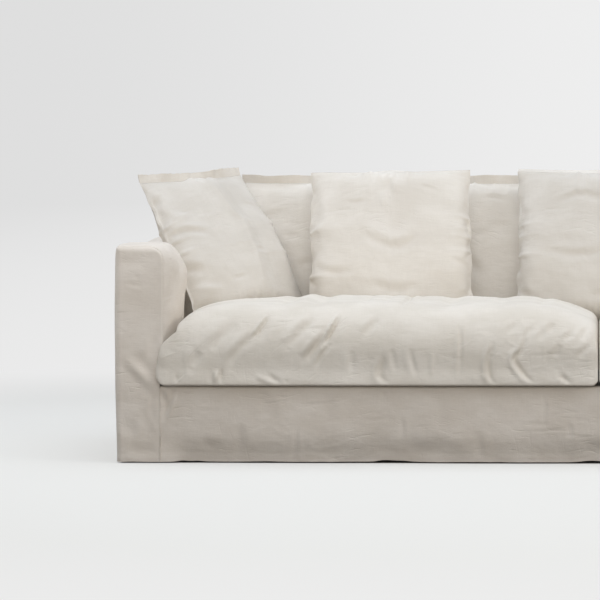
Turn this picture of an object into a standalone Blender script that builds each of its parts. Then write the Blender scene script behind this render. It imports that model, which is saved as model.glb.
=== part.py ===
"""Loose linen slipcover set of a low, deep sofa: the fitted cover, two seat
cushions and nine loose pillows, each pillow with a standing flange on its top edge.

Metres, +Z up, +X to the right as seen from the front, -Y to the front. The origin
is on the floor under the middle of the whole set.
"""

import math
from collections import namedtuple

import bmesh
import bpy
from mathutils import Euler, Vector

# ---- driving dimensions -------------------------------------------------------
COVER_HALF_WIDTH = 1.321
COVER_FRONT = -0.485
COVER_BACK = 0.520
COVER_TOP = 0.597
CLOTH = 0.0025
SEAM_GAP = 0.0003
HEM_WAVE = 0.004
HEM_TUCK = 0.016
TUCK_RISE = 0.095
HANG_DEPTH = 0.004
UPPER_SEAM_GAP = 0.0018

SEAT_LEVEL = 0.2120
DECK_HALF_WIDTH = 1.180
DECK_FRONT = -0.430
APRON_HALF_WIDTH = 1.199
APRON_EDGE_RADIUS = 0.010

ARM_FACE_FOOT = 1.1996
ARM_FACE_INNER = 1.187
ARM_FACE_SPLAY_RUN = 0.040
ARM_OUTER_RADIUS = 0.014
ARM_INNER_RADIUS = 0.040
ARM_OUTER_SEAM = 0.5825
ARM_OUTER_BOW = 0.003
ARM_REAR_TURN = math.radians(75.0)
ROLL_BULGE = 0.010
BULGE_PLACE = Vector((-0.250, 0.515))
BULGE_REACH = Vector((0.110, 0.055))
TUCK = 0.020

BACK_FOOT = 0.312
BACK_LEAN = math.radians(14.0)
BACK_ROLL_RADIUS = 0.035
BACK_HALF_WIDTH = 1.1806

CUSHION_LEVEL = 0.2142
CUSHION_FRONT = -0.511
CUSHION_REAR = 0.295
CUSHION_CROWN = 0.442
CUSHION_SHOULDER = 0.300
CUSHION_OUTER = 1.150
CUSHION_LOBE = 1.210
CUSHION_INNER = 0.0020
CUSHION_SETBACK = 0.006
FLARE_RISE = 0.045
FRONT_ROUND = 0.125
END_FRONT_ROUND = 0.058
LAST_RISE = 0.006
LOBE_REAR = -0.4885
FRONT_CORNER_RADIUS = 0.006
FRONT_DIMPLE = 0.003

PILLOW_EDGE = 0.009
PILLOW_DRAW = 0.016
FLANGE_RISE = 0.026

# ---- tables -------------------------------------------------------------------
# One row per cut through an arm, front to back. The last rows turn down over the
# rear edge to the back's top seam.
ArmCut = namedtuple("ArmCut", "y inner roll_width roll_height top turn")
ARM_LEVEL_BACK = COVER_BACK - ARM_OUTER_RADIUS
ARM_CUTS = (
    ArmCut(COVER_FRONT + CLOTH + SEAM_GAP, 1.1870, 0.040, 0.040, 0.5970, 0.0),
    ArmCut(-0.440, 1.1730, 0.044, 0.060, 0.5985, 0.0),
    ArmCut(-0.360, 1.1600, 0.050, 0.088, 0.6005, 0.0),
    ArmCut(-0.240, 1.1560, 0.058, 0.100, 0.6010, 0.0),
    ArmCut(-0.150, 1.1745, 0.084, 0.150, 0.5970, 0.0),
    ArmCut(-0.060, 1.1900, 0.090, 0.160, 0.5910, 0.0),
    ArmCut(0.110, 1.1880, 0.086, 0.140, 0.5890, 0.0),
    ArmCut(0.290, 1.1810, 0.060, 0.090, 0.5920, 0.0),
    ArmCut(0.400, 1.1810, 0.006, 0.010, 0.5965, 0.0),
    ArmCut(0.485, 1.1810, 0.006, 0.010, 0.5970, 0.0),
    ArmCut(ARM_LEVEL_BACK, 1.1810, 0.006, 0.010, 0.5970, 0.0),
    ArmCut(ARM_LEVEL_BACK, 1.1810, 0.006, 0.010, 0.5970, ARM_REAR_TURN / 2.0),
    ArmCut(ARM_LEVEL_BACK, 1.1810, 0.006, 0.010, 0.5970, ARM_REAR_TURN),
)

# One row per pillow: where the middle of its lower edge stands, how far it is
# turned, leaned back and rolled, how thick its filling is, how much narrower its
# top is than its foot, and how far its flange tips, backwards where above 0.
Pillow = namedtuple("Pillow", "name x y z yaw lean roll width height thickness bend flare flop")
PILLOWS = (
    Pillow("rear_1", -0.818, 0.272, 0.338, 1.0, 13.5, 0.8, 0.455, 0.435, 0.112, 0.0, 0.02, -26.0),
    Pillow("rear_2", -0.345, 0.271, 0.336, -1.5, 14.0, -0.6, 0.465, 0.435, 0.112, 0.0, 0.02, -20.0),
    Pillow("rear_3", 0.350, 0.272, 0.337, 1.0, 13.5, 0.5, 0.465, 0.435, 0.112, 0.0, 0.02, -24.0),
    Pillow("rear_4", 0.820, 0.272, 0.336, -1.0, 14.0, -0.8, 0.455, 0.435, 0.112, 0.0, 0.02, -26.0),
    Pillow("front_1", -0.985, 0.026, 0.385, 50.0, 31.0, 3.0, 0.440, 0.452, 0.116, 0.004, 0.08, -16.0),
    Pillow("front_2", -0.595, 0.112, 0.357, 0.5, 16.0, 0.9, 0.466, 0.452, 0.128, 0.0, 0.03, 70.0),
    Pillow("front_3", 0.000, 0.114, 0.356, -0.5, 16.0, 0.0, 0.472, 0.452, 0.128, 0.0, 0.02, 66.0),
    Pillow("front_4", 0.608, 0.112, 0.357, -1.0, 16.0, -0.5, 0.465, 0.452, 0.128, 0.0, 0.02, 62.0),
    Pillow("front_5", 0.985, 0.026, 0.385, -50.0, 31.0, -3.0, 0.440, 0.452, 0.116, 0.004, 0.08, -16.0),
)

# How far a seat cushion's form has fallen off at an edge, and over what reach.
Edge = namedtuple("Edge", "fall reach")
CROWN_OUTER_EDGE = Edge(0.036, 0.160)
CROWN_INNER_EDGE = Edge(0.052, 0.210)
FRONT_OUTER_EDGE = Edge(0.020, 0.030)
FRONT_INNER_EDGE = Edge(0.012, 0.030)
BASE_OUTER_EDGE = Edge(0.036, 0.024)
BASE_INNER_EDGE = Edge(0.012, 0.016)
LOBE_SINK_EDGE = Edge(0.041, 0.016)
TOP_REAR_EDGE = Edge(0.030, 0.034)
TOP_OUTER_EDGE = Edge(0.034, 0.037)
TOP_INNER_EDGE = Edge(0.018, 0.024)
LOBE_SLOPE = 0.75
CREST_DIP = 0.005
APEX_MIDDLE = -0.150
APEX_END = -0.235
LEAST_DEPTH = 0.004

# Where a seat cushion's top is cut, as shares of its round upper edge, of the slope
# down to where the pillows press it, and of the rest.
ROUND_SHARES = (0.012, 0.05, 0.15, 0.34, 0.62, 1.0)
PRESS_SHARES = (0.0, 0.4, 0.8, 1.2, 1.55)
REAR_SHARES = (0.35, 0.60, 0.92)

# Where the pillows press the seat cushions down: the line from the corner
# pillow's outer foot to its inner foot, then level along the front row.
PRESS_CORNER_OUTER = Vector((1.160, -0.296))
PRESS_CORNER_INNER = Vector((0.850, 0.050))
PRESS_ROW = 0.010
PRESS_RUN = 0.085
PRESSED_AT_CORNER = 0.356
PRESSED_AT_FRONT_ROW = 0.350
PRESSED_AT_REAR_ROW = 0.329


def smooth(t):
    """Eases from 0 to 1 while t runs from 0 to 1."""
    t = min(max(t, 0.0), 1.0)
    return t * t * (3.0 - 2.0 * t)


def mix(a, b, t):
    """Returns a where t is 0 and b where t is 1."""
    return a + (b - a) * t


def bump(t):
    """Returns a soft hump, 1 at 0, that has died away at 2."""
    return math.exp(-t * t)


def linen(name, colour, roughness):
    """A plain cloth material in the given colour."""
    material = bpy.data.materials.new(name)
    material.use_nodes = True
    shader = material.node_tree.nodes["Principled BSDF"]
    shader.inputs["Base Color"].default_value = (*colour, 1.0)
    shader.inputs["Roughness"].default_value = roughness
    shader.inputs["Metallic"].default_value = 0.0
    return material


def new_object(name, bm, material):
    """Puts a finished bmesh into the scene as one smooth-shaded object."""
    mesh = bpy.data.meshes.new(name)
    bm.to_mesh(mesh)
    bm.free()
    mesh.materials.append(material)
    mesh.shade_smooth()
    obj = bpy.data.objects.new(name, mesh)
    bpy.context.collection.objects.link(obj)
    return obj


def add_grid(bm, columns, rows, place, flip=False):
    """Adds a grid whose corners run 0..1 both ways, each point put by place(u, v)."""
    made = bmesh.ops.create_grid(bm, x_segments=columns, y_segments=rows, size=1.0)
    for vert in made["verts"]:
        vert.co = place((vert.co.x + 1.0) / 2.0, (vert.co.y + 1.0) / 2.0)
    if flip:
        faces = list({face for vert in made["verts"] for face in vert.link_faces})
        bmesh.ops.reverse_faces(bm, faces=faces)
    return made["verts"]


def face_outwards(bm):
    """Turns a closed body's faces outwards."""
    bmesh.ops.recalc_face_normals(bm, faces=bm.faces)
    if bm.calc_volume(signed=True) < 0.0:
        bmesh.ops.reverse_faces(bm, faces=bm.faces)


def cloth_panel(name, columns, rows, place, material, mirrored=False):
    """One cut panel: a grid on the cloth's outer face, thickened inwards."""
    bm = bmesh.new()

    def put(u, v):
        point = place(u, v)
        return Vector((-point.x, point.y, point.z)) if mirrored else point

    add_grid(bm, columns, rows, put, flip=mirrored)
    panel = new_object(name, bm, material)
    thicken = panel.modifiers.new("cloth", "SOLIDIFY")
    thicken.thickness = CLOTH
    thicken.offset = -1.0
    thicken.use_even_offset = True
    thicken.use_rim = True
    return panel


# ---- the fitted cover ---------------------------------------------------------
def hem_height(along, phase):
    """How far the hem lifts off the floor at a place along it."""
    lift = math.sin(along * 9.0 + phase) + 0.6 * math.sin(along * 23.0 + 2.0 * phase)
    return HEM_WAVE * max(lift, 0.0) / 1.6


def hang(along, height, phase, share):
    """Soft in-and-out of a hanging panel, which fades towards its seams.

    share runs 0..1 from one upright seam to the other.
    """
    slack = 1.0 - smooth(height / SEAT_LEVEL)
    free = smooth(min(share, 1.0 - share) / 0.04)
    return HANG_DEPTH * slack * free * math.sin(along * 11.0 + phase)


def build_front_apron(material):
    """Skirt under the seat cushions, turned back over the frame's edge to the deck.

    Its foot is drawn in under the frame.
    """
    upright = SEAT_LEVEL - APRON_EDGE_RADIUS
    arc = APRON_EDGE_RADIUS * math.pi / 2.0
    level_run = DECK_FRONT - SEAM_GAP - (COVER_FRONT + APRON_EDGE_RADIUS)
    runs = [TUCK_RISE * step / 3.0 for step in range(4)]
    runs += [(TUCK_RISE + upright) / 2.0, upright]
    runs += [upright + arc / 2.0, upright + arc, upright + arc + level_run]

    def place(u, v):
        x = mix(-APRON_HALF_WIDTH, APRON_HALF_WIDTH, u)
        s = runs[round(v * (len(runs) - 1))]
        if s <= upright:
            z = mix(hem_height(x, 0.4), upright, s / upright)
            free = smooth((min(u, 1.0 - u) - 0.036) / 0.03)
            tuck = HEM_TUCK * free * smooth(1.0 - z / TUCK_RISE) ** 1.4
            return Vector((x, COVER_FRONT + hang(x, z, 1.3, u) + tuck, z))
        if s <= upright + arc:
            a = (s - upright) / APRON_EDGE_RADIUS
            y = COVER_FRONT + APRON_EDGE_RADIUS * (1.0 - math.cos(a))
            return Vector((x, y, upright + APRON_EDGE_RADIUS * math.sin(a)))
        return Vector((x, COVER_FRONT + APRON_EDGE_RADIUS + (s - upright - arc), SEAT_LEVEL))

    return cloth_panel("front_apron", 28, len(runs) - 1, place, material)


def build_deck(material):
    """Flat cloth that lies on the seat platform under the cushions."""

    def place(u, v):
        x = mix(-DECK_HALF_WIDTH, DECK_HALF_WIDTH, u)
        return Vector((x, mix(DECK_FRONT, BACK_FOOT - SEAM_GAP, v), SEAT_LEVEL))

    return cloth_panel("deck", 1, 1, place, material)


def build_inside_back(material):
    """Reclined inner back that rolls over the top of the frame to the rear seam."""
    roll_turn = math.pi / 2.0 - BACK_LEAN
    roll_centre_z = COVER_TOP - BACK_ROLL_RADIUS
    slope_top = roll_centre_z + BACK_ROLL_RADIUS * math.sin(BACK_LEAN)
    slope = (slope_top - SEAT_LEVEL) / math.cos(BACK_LEAN)
    roll = BACK_ROLL_RADIUS * roll_turn
    slope_top_y = BACK_FOOT + slope * math.sin(BACK_LEAN)
    roll_centre_y = slope_top_y + BACK_ROLL_RADIUS * math.cos(BACK_LEAN)
    level = COVER_BACK - ARM_OUTER_RADIUS - roll_centre_y
    turn = ARM_OUTER_RADIUS * math.pi / 2.0
    stops = (0.0, 0.35, 0.7, 1.0)
    runs = [slope * stop for stop in stops]
    runs += [slope + roll * step / 3.0 for step in (1, 2, 3)]
    runs += [slope + roll + level * 0.5, slope + roll + level]
    runs += [slope + roll + level + turn * step / 2.0 for step in (1, 2)]

    def place(u, v):
        x = mix(-BACK_HALF_WIDTH, BACK_HALF_WIDTH, u)
        s = runs[round(v * (len(runs) - 1))]
        bow = 0.006 * math.sin(math.pi * u) * math.sin(math.pi * min(s / slope, 1.0))
        if s <= slope:
            y = BACK_FOOT + s * math.sin(BACK_LEAN) - bow
            return Vector((x, y, SEAT_LEVEL + s * math.cos(BACK_LEAN)))
        if s <= slope + roll:
            a = BACK_LEAN + (s - slope) / BACK_ROLL_RADIUS
            y = roll_centre_y - BACK_ROLL_RADIUS * math.cos(a)
            return Vector((x, y, roll_centre_z + BACK_ROLL_RADIUS * math.sin(a)))
        if s <= slope + roll + level:
            return Vector((x, roll_centre_y + s - slope - roll, COVER_TOP))
        a = (s - slope - roll - level) / ARM_OUTER_RADIUS
        y = COVER_BACK - ARM_OUTER_RADIUS * (1.0 - math.sin(a))
        return Vector((x, y, COVER_TOP - ARM_OUTER_RADIUS * (1.0 - math.cos(a))))

    return cloth_panel("inside_back", 12, len(runs) - 1, place, material)


def build_outside_back(material):
    """Rear drop from the back's top seam to the floor, full width."""

    def place(u, v):
        x = mix(COVER_HALF_WIDTH, -COVER_HALF_WIDTH, u)
        z = mix(hem_height(x, 2.1), ARM_OUTER_SEAM - UPPER_SEAM_GAP, v)
        return Vector((x, COVER_BACK - abs(hang(x, z, 0.2, u)), z))

    return cloth_panel("outside_back", 20, 3, place, material)


def arm_top_line(x):
    """Height of the arm facing's upper edge at a distance x from the middle."""
    from_outer = COVER_HALF_WIDTH - x
    from_inner = x - ARM_FACE_INNER
    drop = 0.0
    if from_outer < ARM_OUTER_RADIUS:
        reach = ARM_OUTER_RADIUS - from_outer
        drop = ARM_OUTER_RADIUS - math.sqrt(max(ARM_OUTER_RADIUS**2 - reach**2, 0.0))
    if from_inner < ARM_INNER_RADIUS:
        reach = ARM_INNER_RADIUS - from_inner
        drop = ARM_INNER_RADIUS - math.sqrt(max(ARM_INNER_RADIUS**2 - reach**2, 0.0))
    return COVER_TOP - drop


def build_arm_front(side, material):
    """Arm facing: flat panel, rounded at both upper corners, hem to the floor."""
    columns = (0.0, 0.04, 0.14, 0.30, 0.60, 0.86, 0.96, 1.0)
    rows = (0.0, 0.12, 0.24, SEAT_LEVEL / COVER_TOP, 0.43, 0.60, 0.80, 1.0)

    def place(u, v):
        share = columns[round(u * (len(columns) - 1))]
        x = mix(COVER_HALF_WIDTH, ARM_FACE_INNER, share)
        height = rows[round(v * (len(rows) - 1))]
        z = mix(hem_height(x, 0.9), mix(COVER_TOP, arm_top_line(x), smooth(height)), height)
        above_seat = smooth((z - SEAT_LEVEL) / ARM_FACE_SPLAY_RUN)
        splay = (ARM_FACE_FOOT - ARM_FACE_INNER) * share * (1.0 - above_seat)
        return Vector((-(x + splay), COVER_FRONT + 0.5 * hang(x, z, 2.0, u), z))

    return cloth_panel(
        f"arm_front_{side}",
        len(columns) - 1,
        len(rows) - 1,
        place,
        material,
        mirrored=side == "right",
    )


def arm_profile(cut, step, steps):
    """Point (x, z) on the cut through an arm, from the deck up, over and out."""
    start = SEAT_LEVEL + SEAM_GAP
    if cut.y > BACK_FOOT:
        start = cut.top - cut.roll_height - (TUCK if cut.y < ARM_LEVEL_BACK else 0.0)
    roll_foot = cut.top - cut.roll_height
    rise_steps, roll_steps, corner_steps = 3, 5, 2
    if step <= rise_steps:
        return cut.inner, mix(start, roll_foot, step / rise_steps)
    if step <= rise_steps + roll_steps:
        a = (step - rise_steps) / roll_steps * math.pi / 2.0
        x = cut.inner + cut.roll_width * (1.0 - math.cos(a))
        return x, roll_foot + cut.roll_height * math.sin(a)
    if step < steps - corner_steps:
        x = mix(cut.inner + cut.roll_width, COVER_HALF_WIDTH - ARM_OUTER_RADIUS, 0.5)
        return x, cut.top
    a = (step - (steps - corner_steps)) / corner_steps * math.pi / 2.0
    x = COVER_HALF_WIDTH - ARM_OUTER_RADIUS * (1.0 - math.sin(a))
    z = mix(cut.top, ARM_OUTER_SEAM, 1.0 - math.cos(a))
    return x, z


def build_arm_inside(side, material):
    """Inner arm, padded roll and arm top in one length, down to the outer seam."""
    profile_steps = 12

    def place(u, v):
        cut = ARM_CUTS[round(u * (len(ARM_CUTS) - 1))]
        x, z = arm_profile(cut, round(v * profile_steps), profile_steps)
        bulge = bump((cut.y - BULGE_PLACE.x) / BULGE_REACH.x)
        bulge *= bump((z - BULGE_PLACE.y) / BULGE_REACH.y)
        x -= ROLL_BULGE * bulge * smooth((COVER_HALF_WIDTH - 0.05 - x) / 0.05)
        z = ARM_OUTER_SEAM + (z - ARM_OUTER_SEAM) * math.cos(cut.turn)
        return Vector((-x, cut.y + ARM_OUTER_RADIUS * math.sin(cut.turn), z))

    return cloth_panel(
        f"arm_inside_{side}",
        len(ARM_CUTS) - 1,
        profile_steps,
        place,
        material,
        mirrored=side == "right",
    )


def build_arm_outside(side, material):
    """Outer arm drop from the top seam to the floor."""
    front = COVER_FRONT + CLOTH + SEAM_GAP
    back = COVER_BACK - CLOTH - SEAM_GAP

    def place(u, v):
        y = mix(back, front, u)
        z = mix(hem_height(y, 1.7), ARM_OUTER_SEAM - UPPER_SEAM_GAP, v)
        bow = ARM_OUTER_BOW * math.sin(math.pi * v) * math.sin(math.pi * u)
        return Vector((-(COVER_HALF_WIDTH + bow - abs(hang(y, z, 0.6, u))), y, z))

    return cloth_panel(
        f"arm_outside_{side}", 12, 3, place, material, mirrored=side == "right"
    )


# ---- seat cushions ------------------------------------------------------------
def pressed(x, y, surface):
    """Height of a cushion's top once the pillows press it, from its free height."""
    run = PRESS_CORNER_INNER - PRESS_CORNER_OUTER
    across = Vector((-run.y, run.x)).normalized()
    behind_corner = (Vector((x, y)) - PRESS_CORNER_OUTER).dot(-across) / PRESS_RUN
    behind_row = (y - PRESS_ROW) / PRESS_RUN
    level = mix(PRESSED_AT_CORNER, PRESSED_AT_FRONT_ROW, smooth(behind_row))
    level = mix(level, PRESSED_AT_REAR_ROW, smooth((y - 0.14) / 0.08))
    share = max(smooth(behind_corner), smooth(behind_row))
    return mix(surface, min(surface, level), share)


def soft_fall(distance, edge):
    """How far the form has fallen at a distance from an edge that sags softly."""
    share = min(max(distance / edge.reach, 0.0), 1.0)
    return edge.fall * (1.0 - math.sin(share * math.pi / 2.0)) ** 1.2


def round_fall(distance, edge):
    """How far the form has fallen at a distance from an edge that is round."""
    short = 1.0 - min(max(distance / edge.reach, 0.0), 1.0)
    return edge.fall * (1.0 - math.sqrt(1.0 - short * short))


def crown_height(x):
    """Height of a seat cushion's crest at a distance x from the middle."""
    crown = CUSHION_CROWN - soft_fall(CUSHION_OUTER - x, CROWN_OUTER_EDGE)
    crown -= soft_fall(x - CUSHION_INNER, CROWN_INNER_EDGE)
    return crown - CREST_DIP * (smooth((x - 0.78) / 0.16) + smooth((0.56 - x) / 0.14))


def front_round(x):
    """How deep the round upper edge of a seat cushion's front is."""
    return mix(FRONT_ROUND, END_FRONT_ROUND, smooth((x - 1.0) / 0.15))


def cushion_top(x, y, face):
    """Height of a seat cushion's upper side behind a front that stands at face."""
    apex_y = mix(APEX_MIDDLE, APEX_END, smooth((x - 0.95) / 0.20))
    short = 1.0 - min(max((y - face) / front_round(x), 0.0), 1.0)
    rise = math.sqrt(1.0 - short * short)
    height = mix(CUSHION_SHOULDER, crown_height(x) - LAST_RISE, rise)
    height += LAST_RISE * smooth((y - face) / (apex_y - face))
    return pressed(x, y, height)


def press_start(x):
    """Where the pillows begin to press the top at a distance x from the middle."""
    run = PRESS_CORNER_INNER - PRESS_CORNER_OUTER
    share = (x - PRESS_CORNER_OUTER.x) / run.x
    return min(PRESS_ROW, PRESS_CORNER_OUTER.y + share * run.y)


def top_places(x, face):
    """Distances from front to back at which the cushion's top is cut, 15 in all."""
    if x > CUSHION_OUTER:
        return [mix(face, LOBE_REAR, (step / 15.0) ** 2) for step in range(1, 16)]
    depth = front_round(x)
    start = press_start(x)
    places = [face + depth * share for share in ROUND_SHARES]
    places.append(mix(face + depth, start, 0.5))
    places += [start + PRESS_RUN * share for share in PRESS_SHARES]
    return places + [mix(places[-1], CUSHION_REAR, share) for share in REAR_SHARES]


def cushion_cut(x, sign):
    """Closed loop of points (y, z) round a seat cushion at a distance x from the middle."""
    lobe = x > CUSHION_OUTER
    rear = LOBE_REAR if lobe else CUSHION_REAR
    dimple = FRONT_DIMPLE * math.sin(x * 15.0 + sign) * math.sin(x * 6.0 + 0.4)
    fall = round_fall(CUSHION_LOBE - x, FRONT_OUTER_EDGE)
    fall += soft_fall(x - CUSHION_INNER, FRONT_INNER_EDGE)
    front = min(CUSHION_FRONT + fall + abs(dimple), LOBE_REAR - LEAST_DEPTH)
    face = min(front + CUSHION_SETBACK, LOBE_REAR - LEAST_DEPTH / 2.0)
    corner = min(FRONT_CORNER_RADIUS, 0.4 * (rear - front))
    base = CUSHION_LEVEL + round_fall(CUSHION_LOBE - x, BASE_OUTER_EDGE)
    base += soft_fall(x - CUSHION_INNER, BASE_INNER_EDGE)
    sink = LOBE_SLOPE * max(x - CUSHION_OUTER, 0.0)
    sink += round_fall(CUSHION_LOBE - x, LOBE_SINK_EDGE)
    shoulder = CUSHION_SHOULDER - 0.5 * sink
    loop = [(mix(rear, front + corner, share), base) for share in (0.05, 0.5, 1.0)]
    loop.append((front + 0.3 * corner, base + 0.3 * corner))
    for share in (0.0, 0.25, 0.6):
        z = mix(base + corner, shoulder, share)
        loop.append((mix(front, face, smooth((z - base - corner) / FLARE_RISE)), z))
    top_x = min(x, CUSHION_OUTER)
    full = cushion_top(top_x, LOBE_REAR, face) - CUSHION_SHOULDER
    lobe_top = max(CUSHION_SHOULDER + full - sink, base + LEAST_DEPTH)
    squeeze = (lobe_top - shoulder) / full
    for y in top_places(x, face):
        z = shoulder + (cushion_top(top_x, y, face) - CUSHION_SHOULDER) * squeeze
        if not lobe:
            z -= round_fall(CUSHION_REAR - y, TOP_REAR_EDGE)
            z -= round_fall(CUSHION_OUTER - x, TOP_OUTER_EDGE) * smooth((y - LOBE_REAR) / 0.05)
            z -= round_fall(x - CUSHION_INNER, TOP_INNER_EDGE)
        loop.append((y, z))
    last_z = loop[-1][1]
    loop.append((rear, mix(base, last_z, 0.80)))
    loop.append((rear, mix(base, last_z, 0.15)))
    return loop


def build_seat_cushion(side, material):
    """Soft filled seat cushion, lofted along the sofa's width."""
    stations = (CUSHION_INNER, 0.012, 0.045, 0.120, 0.230, 0.400, 0.570, 0.740, 0.880, 0.980)
    stations += (1.040, 1.090, 1.125, CUSHION_OUTER, CUSHION_OUTER + 0.003, 1.180, 1.198)
    stations += (1.206, CUSHION_LOBE)
    sign = -1.0 if side == "left" else 1.0
    bm = bmesh.new()
    rings = []
    for x in stations:
        rings.append([bm.verts.new((sign * x, y, z)) for y, z in cushion_cut(x, sign)])
    for ring, following in zip(rings, rings[1:]):
        for i, vert in enumerate(ring):
            j = (i + 1) % len(ring)
            bm.faces.new((vert, ring[j], following[j], following[i]))
    for ring in (rings[0], rings[-1]):
        cap = bm.faces.new(ring)
        bmesh.ops.triangulate(bm, faces=[cap])
    face_outwards(bm)
    return new_object(f"seat_cushion_{side}", bm, material)


# ---- pillows ------------------------------------------------------------------
def pillow_half_thickness(u, v, thickness):
    """Half the filling's thickness at a place -1..1 both ways on a pillow."""
    puff = ((1.0 - u * u) * (1.0 - v * v)) ** 0.52
    settle = 1.0 - 0.16 * v
    return PILLOW_EDGE / 2.0 + (thickness - PILLOW_EDGE) / 2.0 * puff * settle


def pillow_point(u, v, face, row):
    """Point of a pillow that stands on its lower edge's middle; face is -1 front, 1 back."""
    x = row.width / 2.0 * u * (1.0 - PILLOW_DRAW * (1.0 - v * v)) * (1.0 - 0.5 * row.flare * v)
    z = row.height / 2.0 * (1.0 + v * (1.0 - PILLOW_DRAW * (1.0 - u * u)))
    y = face * pillow_half_thickness(u, v, row.thickness) - row.bend * (1.0 - v * v)
    return Vector((x, y, z))


def stand(obj, row):
    """Turns and leans an object about the pillow's lower edge and puts it there."""
    turn = Euler((0.0, 0.0, math.radians(row.yaw))).to_matrix()
    lean = Euler((-math.radians(row.lean), 0.0, 0.0)).to_matrix()
    roll = Euler((0.0, -math.radians(row.roll), 0.0)).to_matrix()
    obj.rotation_euler = (turn @ lean @ roll).to_euler()
    obj.location = (row.x, row.y, row.z)


def build_pillow(row, material):
    """Filled pillow: two crowned faces that meet in a thin edge."""
    cells = 9
    bm = bmesh.new()
    for face in (-1, 1):
        add_grid(
            bm,
            cells,
            cells,
            lambda u, v: pillow_point(2.0 * u - 1.0, 2.0 * v - 1.0, face, row),
            flip=face > 0,
        )
    rim = [edge for edge in bm.edges if edge.is_boundary]
    bmesh.ops.bridge_loops(bm, edges=rim)
    face_outwards(bm)
    pillow = new_object(f"pillow_{row.name}", bm, material)
    stand(pillow, row)
    return pillow


def build_flange(row, material):
    """Cloth strip that stands along a pillow's top edge, tipped to one side."""
    flop = math.radians(row.flop)
    clear = 2.0 * SEAM_GAP + CLOTH * max(math.sin(flop), 0.0)

    def place(u, v):
        across = 2.0 * u - 1.0
        top = pillow_point(across, 1.0, 0, row)
        wave = 0.0035 * math.sin(across * 7.0 + row.x * 5.0)
        rise = FLANGE_RISE * v * (1.0 - 0.10 * math.sin(across * 4.0 + row.x * 3.0) ** 2)
        y = rise * math.sin(flop) + wave * v * math.cos(flop)
        return Vector((top.x * 0.992, y, top.z + clear + rise * math.cos(flop)))

    flange = cloth_panel(f"flange_{row.name}", 12, 1, place, material)
    stand(flange, row)
    return flange


def main():
    for obj in list(bpy.data.objects):
        bpy.data.objects.remove(obj, do_unlink=True)
    cover_linen = linen("cover_linen", (0.62, 0.58, 0.52), 0.92)
    cushion_linen = linen("cushion_linen", (0.70, 0.67, 0.61), 0.92)
    pillow_linen = linen("pillow_linen", (0.68, 0.65, 0.59), 0.92)
    build_front_apron(cover_linen)
    build_deck(cover_linen)
    build_inside_back(cover_linen)
    build_outside_back(cover_linen)
    for side in ("left", "right"):
        build_arm_front(side, cover_linen)
        build_arm_inside(side, cover_linen)
        build_arm_outside(side, cover_linen)
        build_seat_cushion(side, cushion_linen)
    for row in PILLOWS:
        build_pillow(row, pillow_linen)
        build_flange(row, pillow_linen)


main()
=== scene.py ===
"""Looks of a loose linen slipcover set of a low, deep sofa.

The set is a fitted cover in ten cut panels, two seat cushions and nine pillows, each
pillow with a flange on its top edge. Metres, +Z up, +X to the right as
seen from the front, -Y to the front, in the frame's own place.
"""

import logging
import math
from dataclasses import dataclass, field, replace
from enum import Enum
from typing import Optional

import bpy
import numpy as np
from mathutils import Euler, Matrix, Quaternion, Vector


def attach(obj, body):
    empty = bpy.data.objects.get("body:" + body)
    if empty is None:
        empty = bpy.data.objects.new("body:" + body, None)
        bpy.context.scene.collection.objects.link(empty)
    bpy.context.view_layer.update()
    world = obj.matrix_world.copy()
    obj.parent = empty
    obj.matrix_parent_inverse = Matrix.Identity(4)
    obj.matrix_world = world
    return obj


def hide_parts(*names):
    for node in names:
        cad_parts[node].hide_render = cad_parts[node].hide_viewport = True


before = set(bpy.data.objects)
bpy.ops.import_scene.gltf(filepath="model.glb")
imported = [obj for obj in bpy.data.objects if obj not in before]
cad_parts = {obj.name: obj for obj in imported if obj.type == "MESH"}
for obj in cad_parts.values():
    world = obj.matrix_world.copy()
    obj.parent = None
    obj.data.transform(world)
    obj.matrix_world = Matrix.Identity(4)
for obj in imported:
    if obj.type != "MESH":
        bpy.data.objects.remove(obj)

LOG = logging.getLogger("slipcover")
BODY = "root"
WEAVE = "weave"
NOISE_CELLS = 64
BLOW_FRAMES = 14
SEAM_ANGLE = math.radians(55.0)

Array = np.ndarray
Point = tuple[float, float]
Colour = tuple[float, float, float]


# ---- plain arithmetic on arrays -------------------------------------------------
def ease(t: Array) -> Array:
    """Eases from 0 to 1 while t runs from 0 to 1."""
    t = np.clip(t, 0.0, 1.0)
    return t * t * (3.0 - 2.0 * t)


def blend(a: Array, b: Array, t: Array) -> Array:
    """Returns a where t is 0 and b where t is 1."""
    return a + (b - a) * t


def bump(distance: Array, width: float) -> Array:
    """Returns a soft hump, 1 at distance 0, that has died away at twice the width."""
    return np.exp(-((distance / width) ** 2))


def smooth_noise(across: Array, along: Array, seed: int) -> Array:
    """Smooth noise whose bumps lie about one unit apart.

    Args:
        across: places, in units of a bump.
        along: places the other way.
        seed: picks the pattern.

    Returns:
        Values from -1 to 1.
    """
    table = np.random.default_rng(seed).uniform(-1.0, 1.0, (NOISE_CELLS, NOISE_CELLS))
    column, row = np.floor(across).astype(int), np.floor(along).astype(int)
    right, up = ease(across - column), ease(along - row)

    def corner(i: int, j: int) -> Array:
        """Returns the table's value at one corner of each place's cell."""
        return table[(row + j) % NOISE_CELLS, (column + i) % NOISE_CELLS]

    low = blend(corner(0, 0), corner(1, 0), right)
    high = blend(corner(0, 1), corner(1, 1), right)
    return blend(low, high, up)


def lumps(across: Array, along: Array, seed: int) -> Array:
    """Slack, uneven cloth: soft swells of about 140 mm with 55 mm ones on them.

    Args:
        across: places on the cloth, in metres.
        along: places the other way.
        seed: picks the pattern.

    Returns:
        Values from -1 to 1.
    """
    wide = smooth_noise(across / 0.14, along / 0.14, seed)
    small = smooth_noise(across / 0.055, along / 0.055, seed + 1)
    return 0.65 * wide + 0.35 * small


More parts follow.
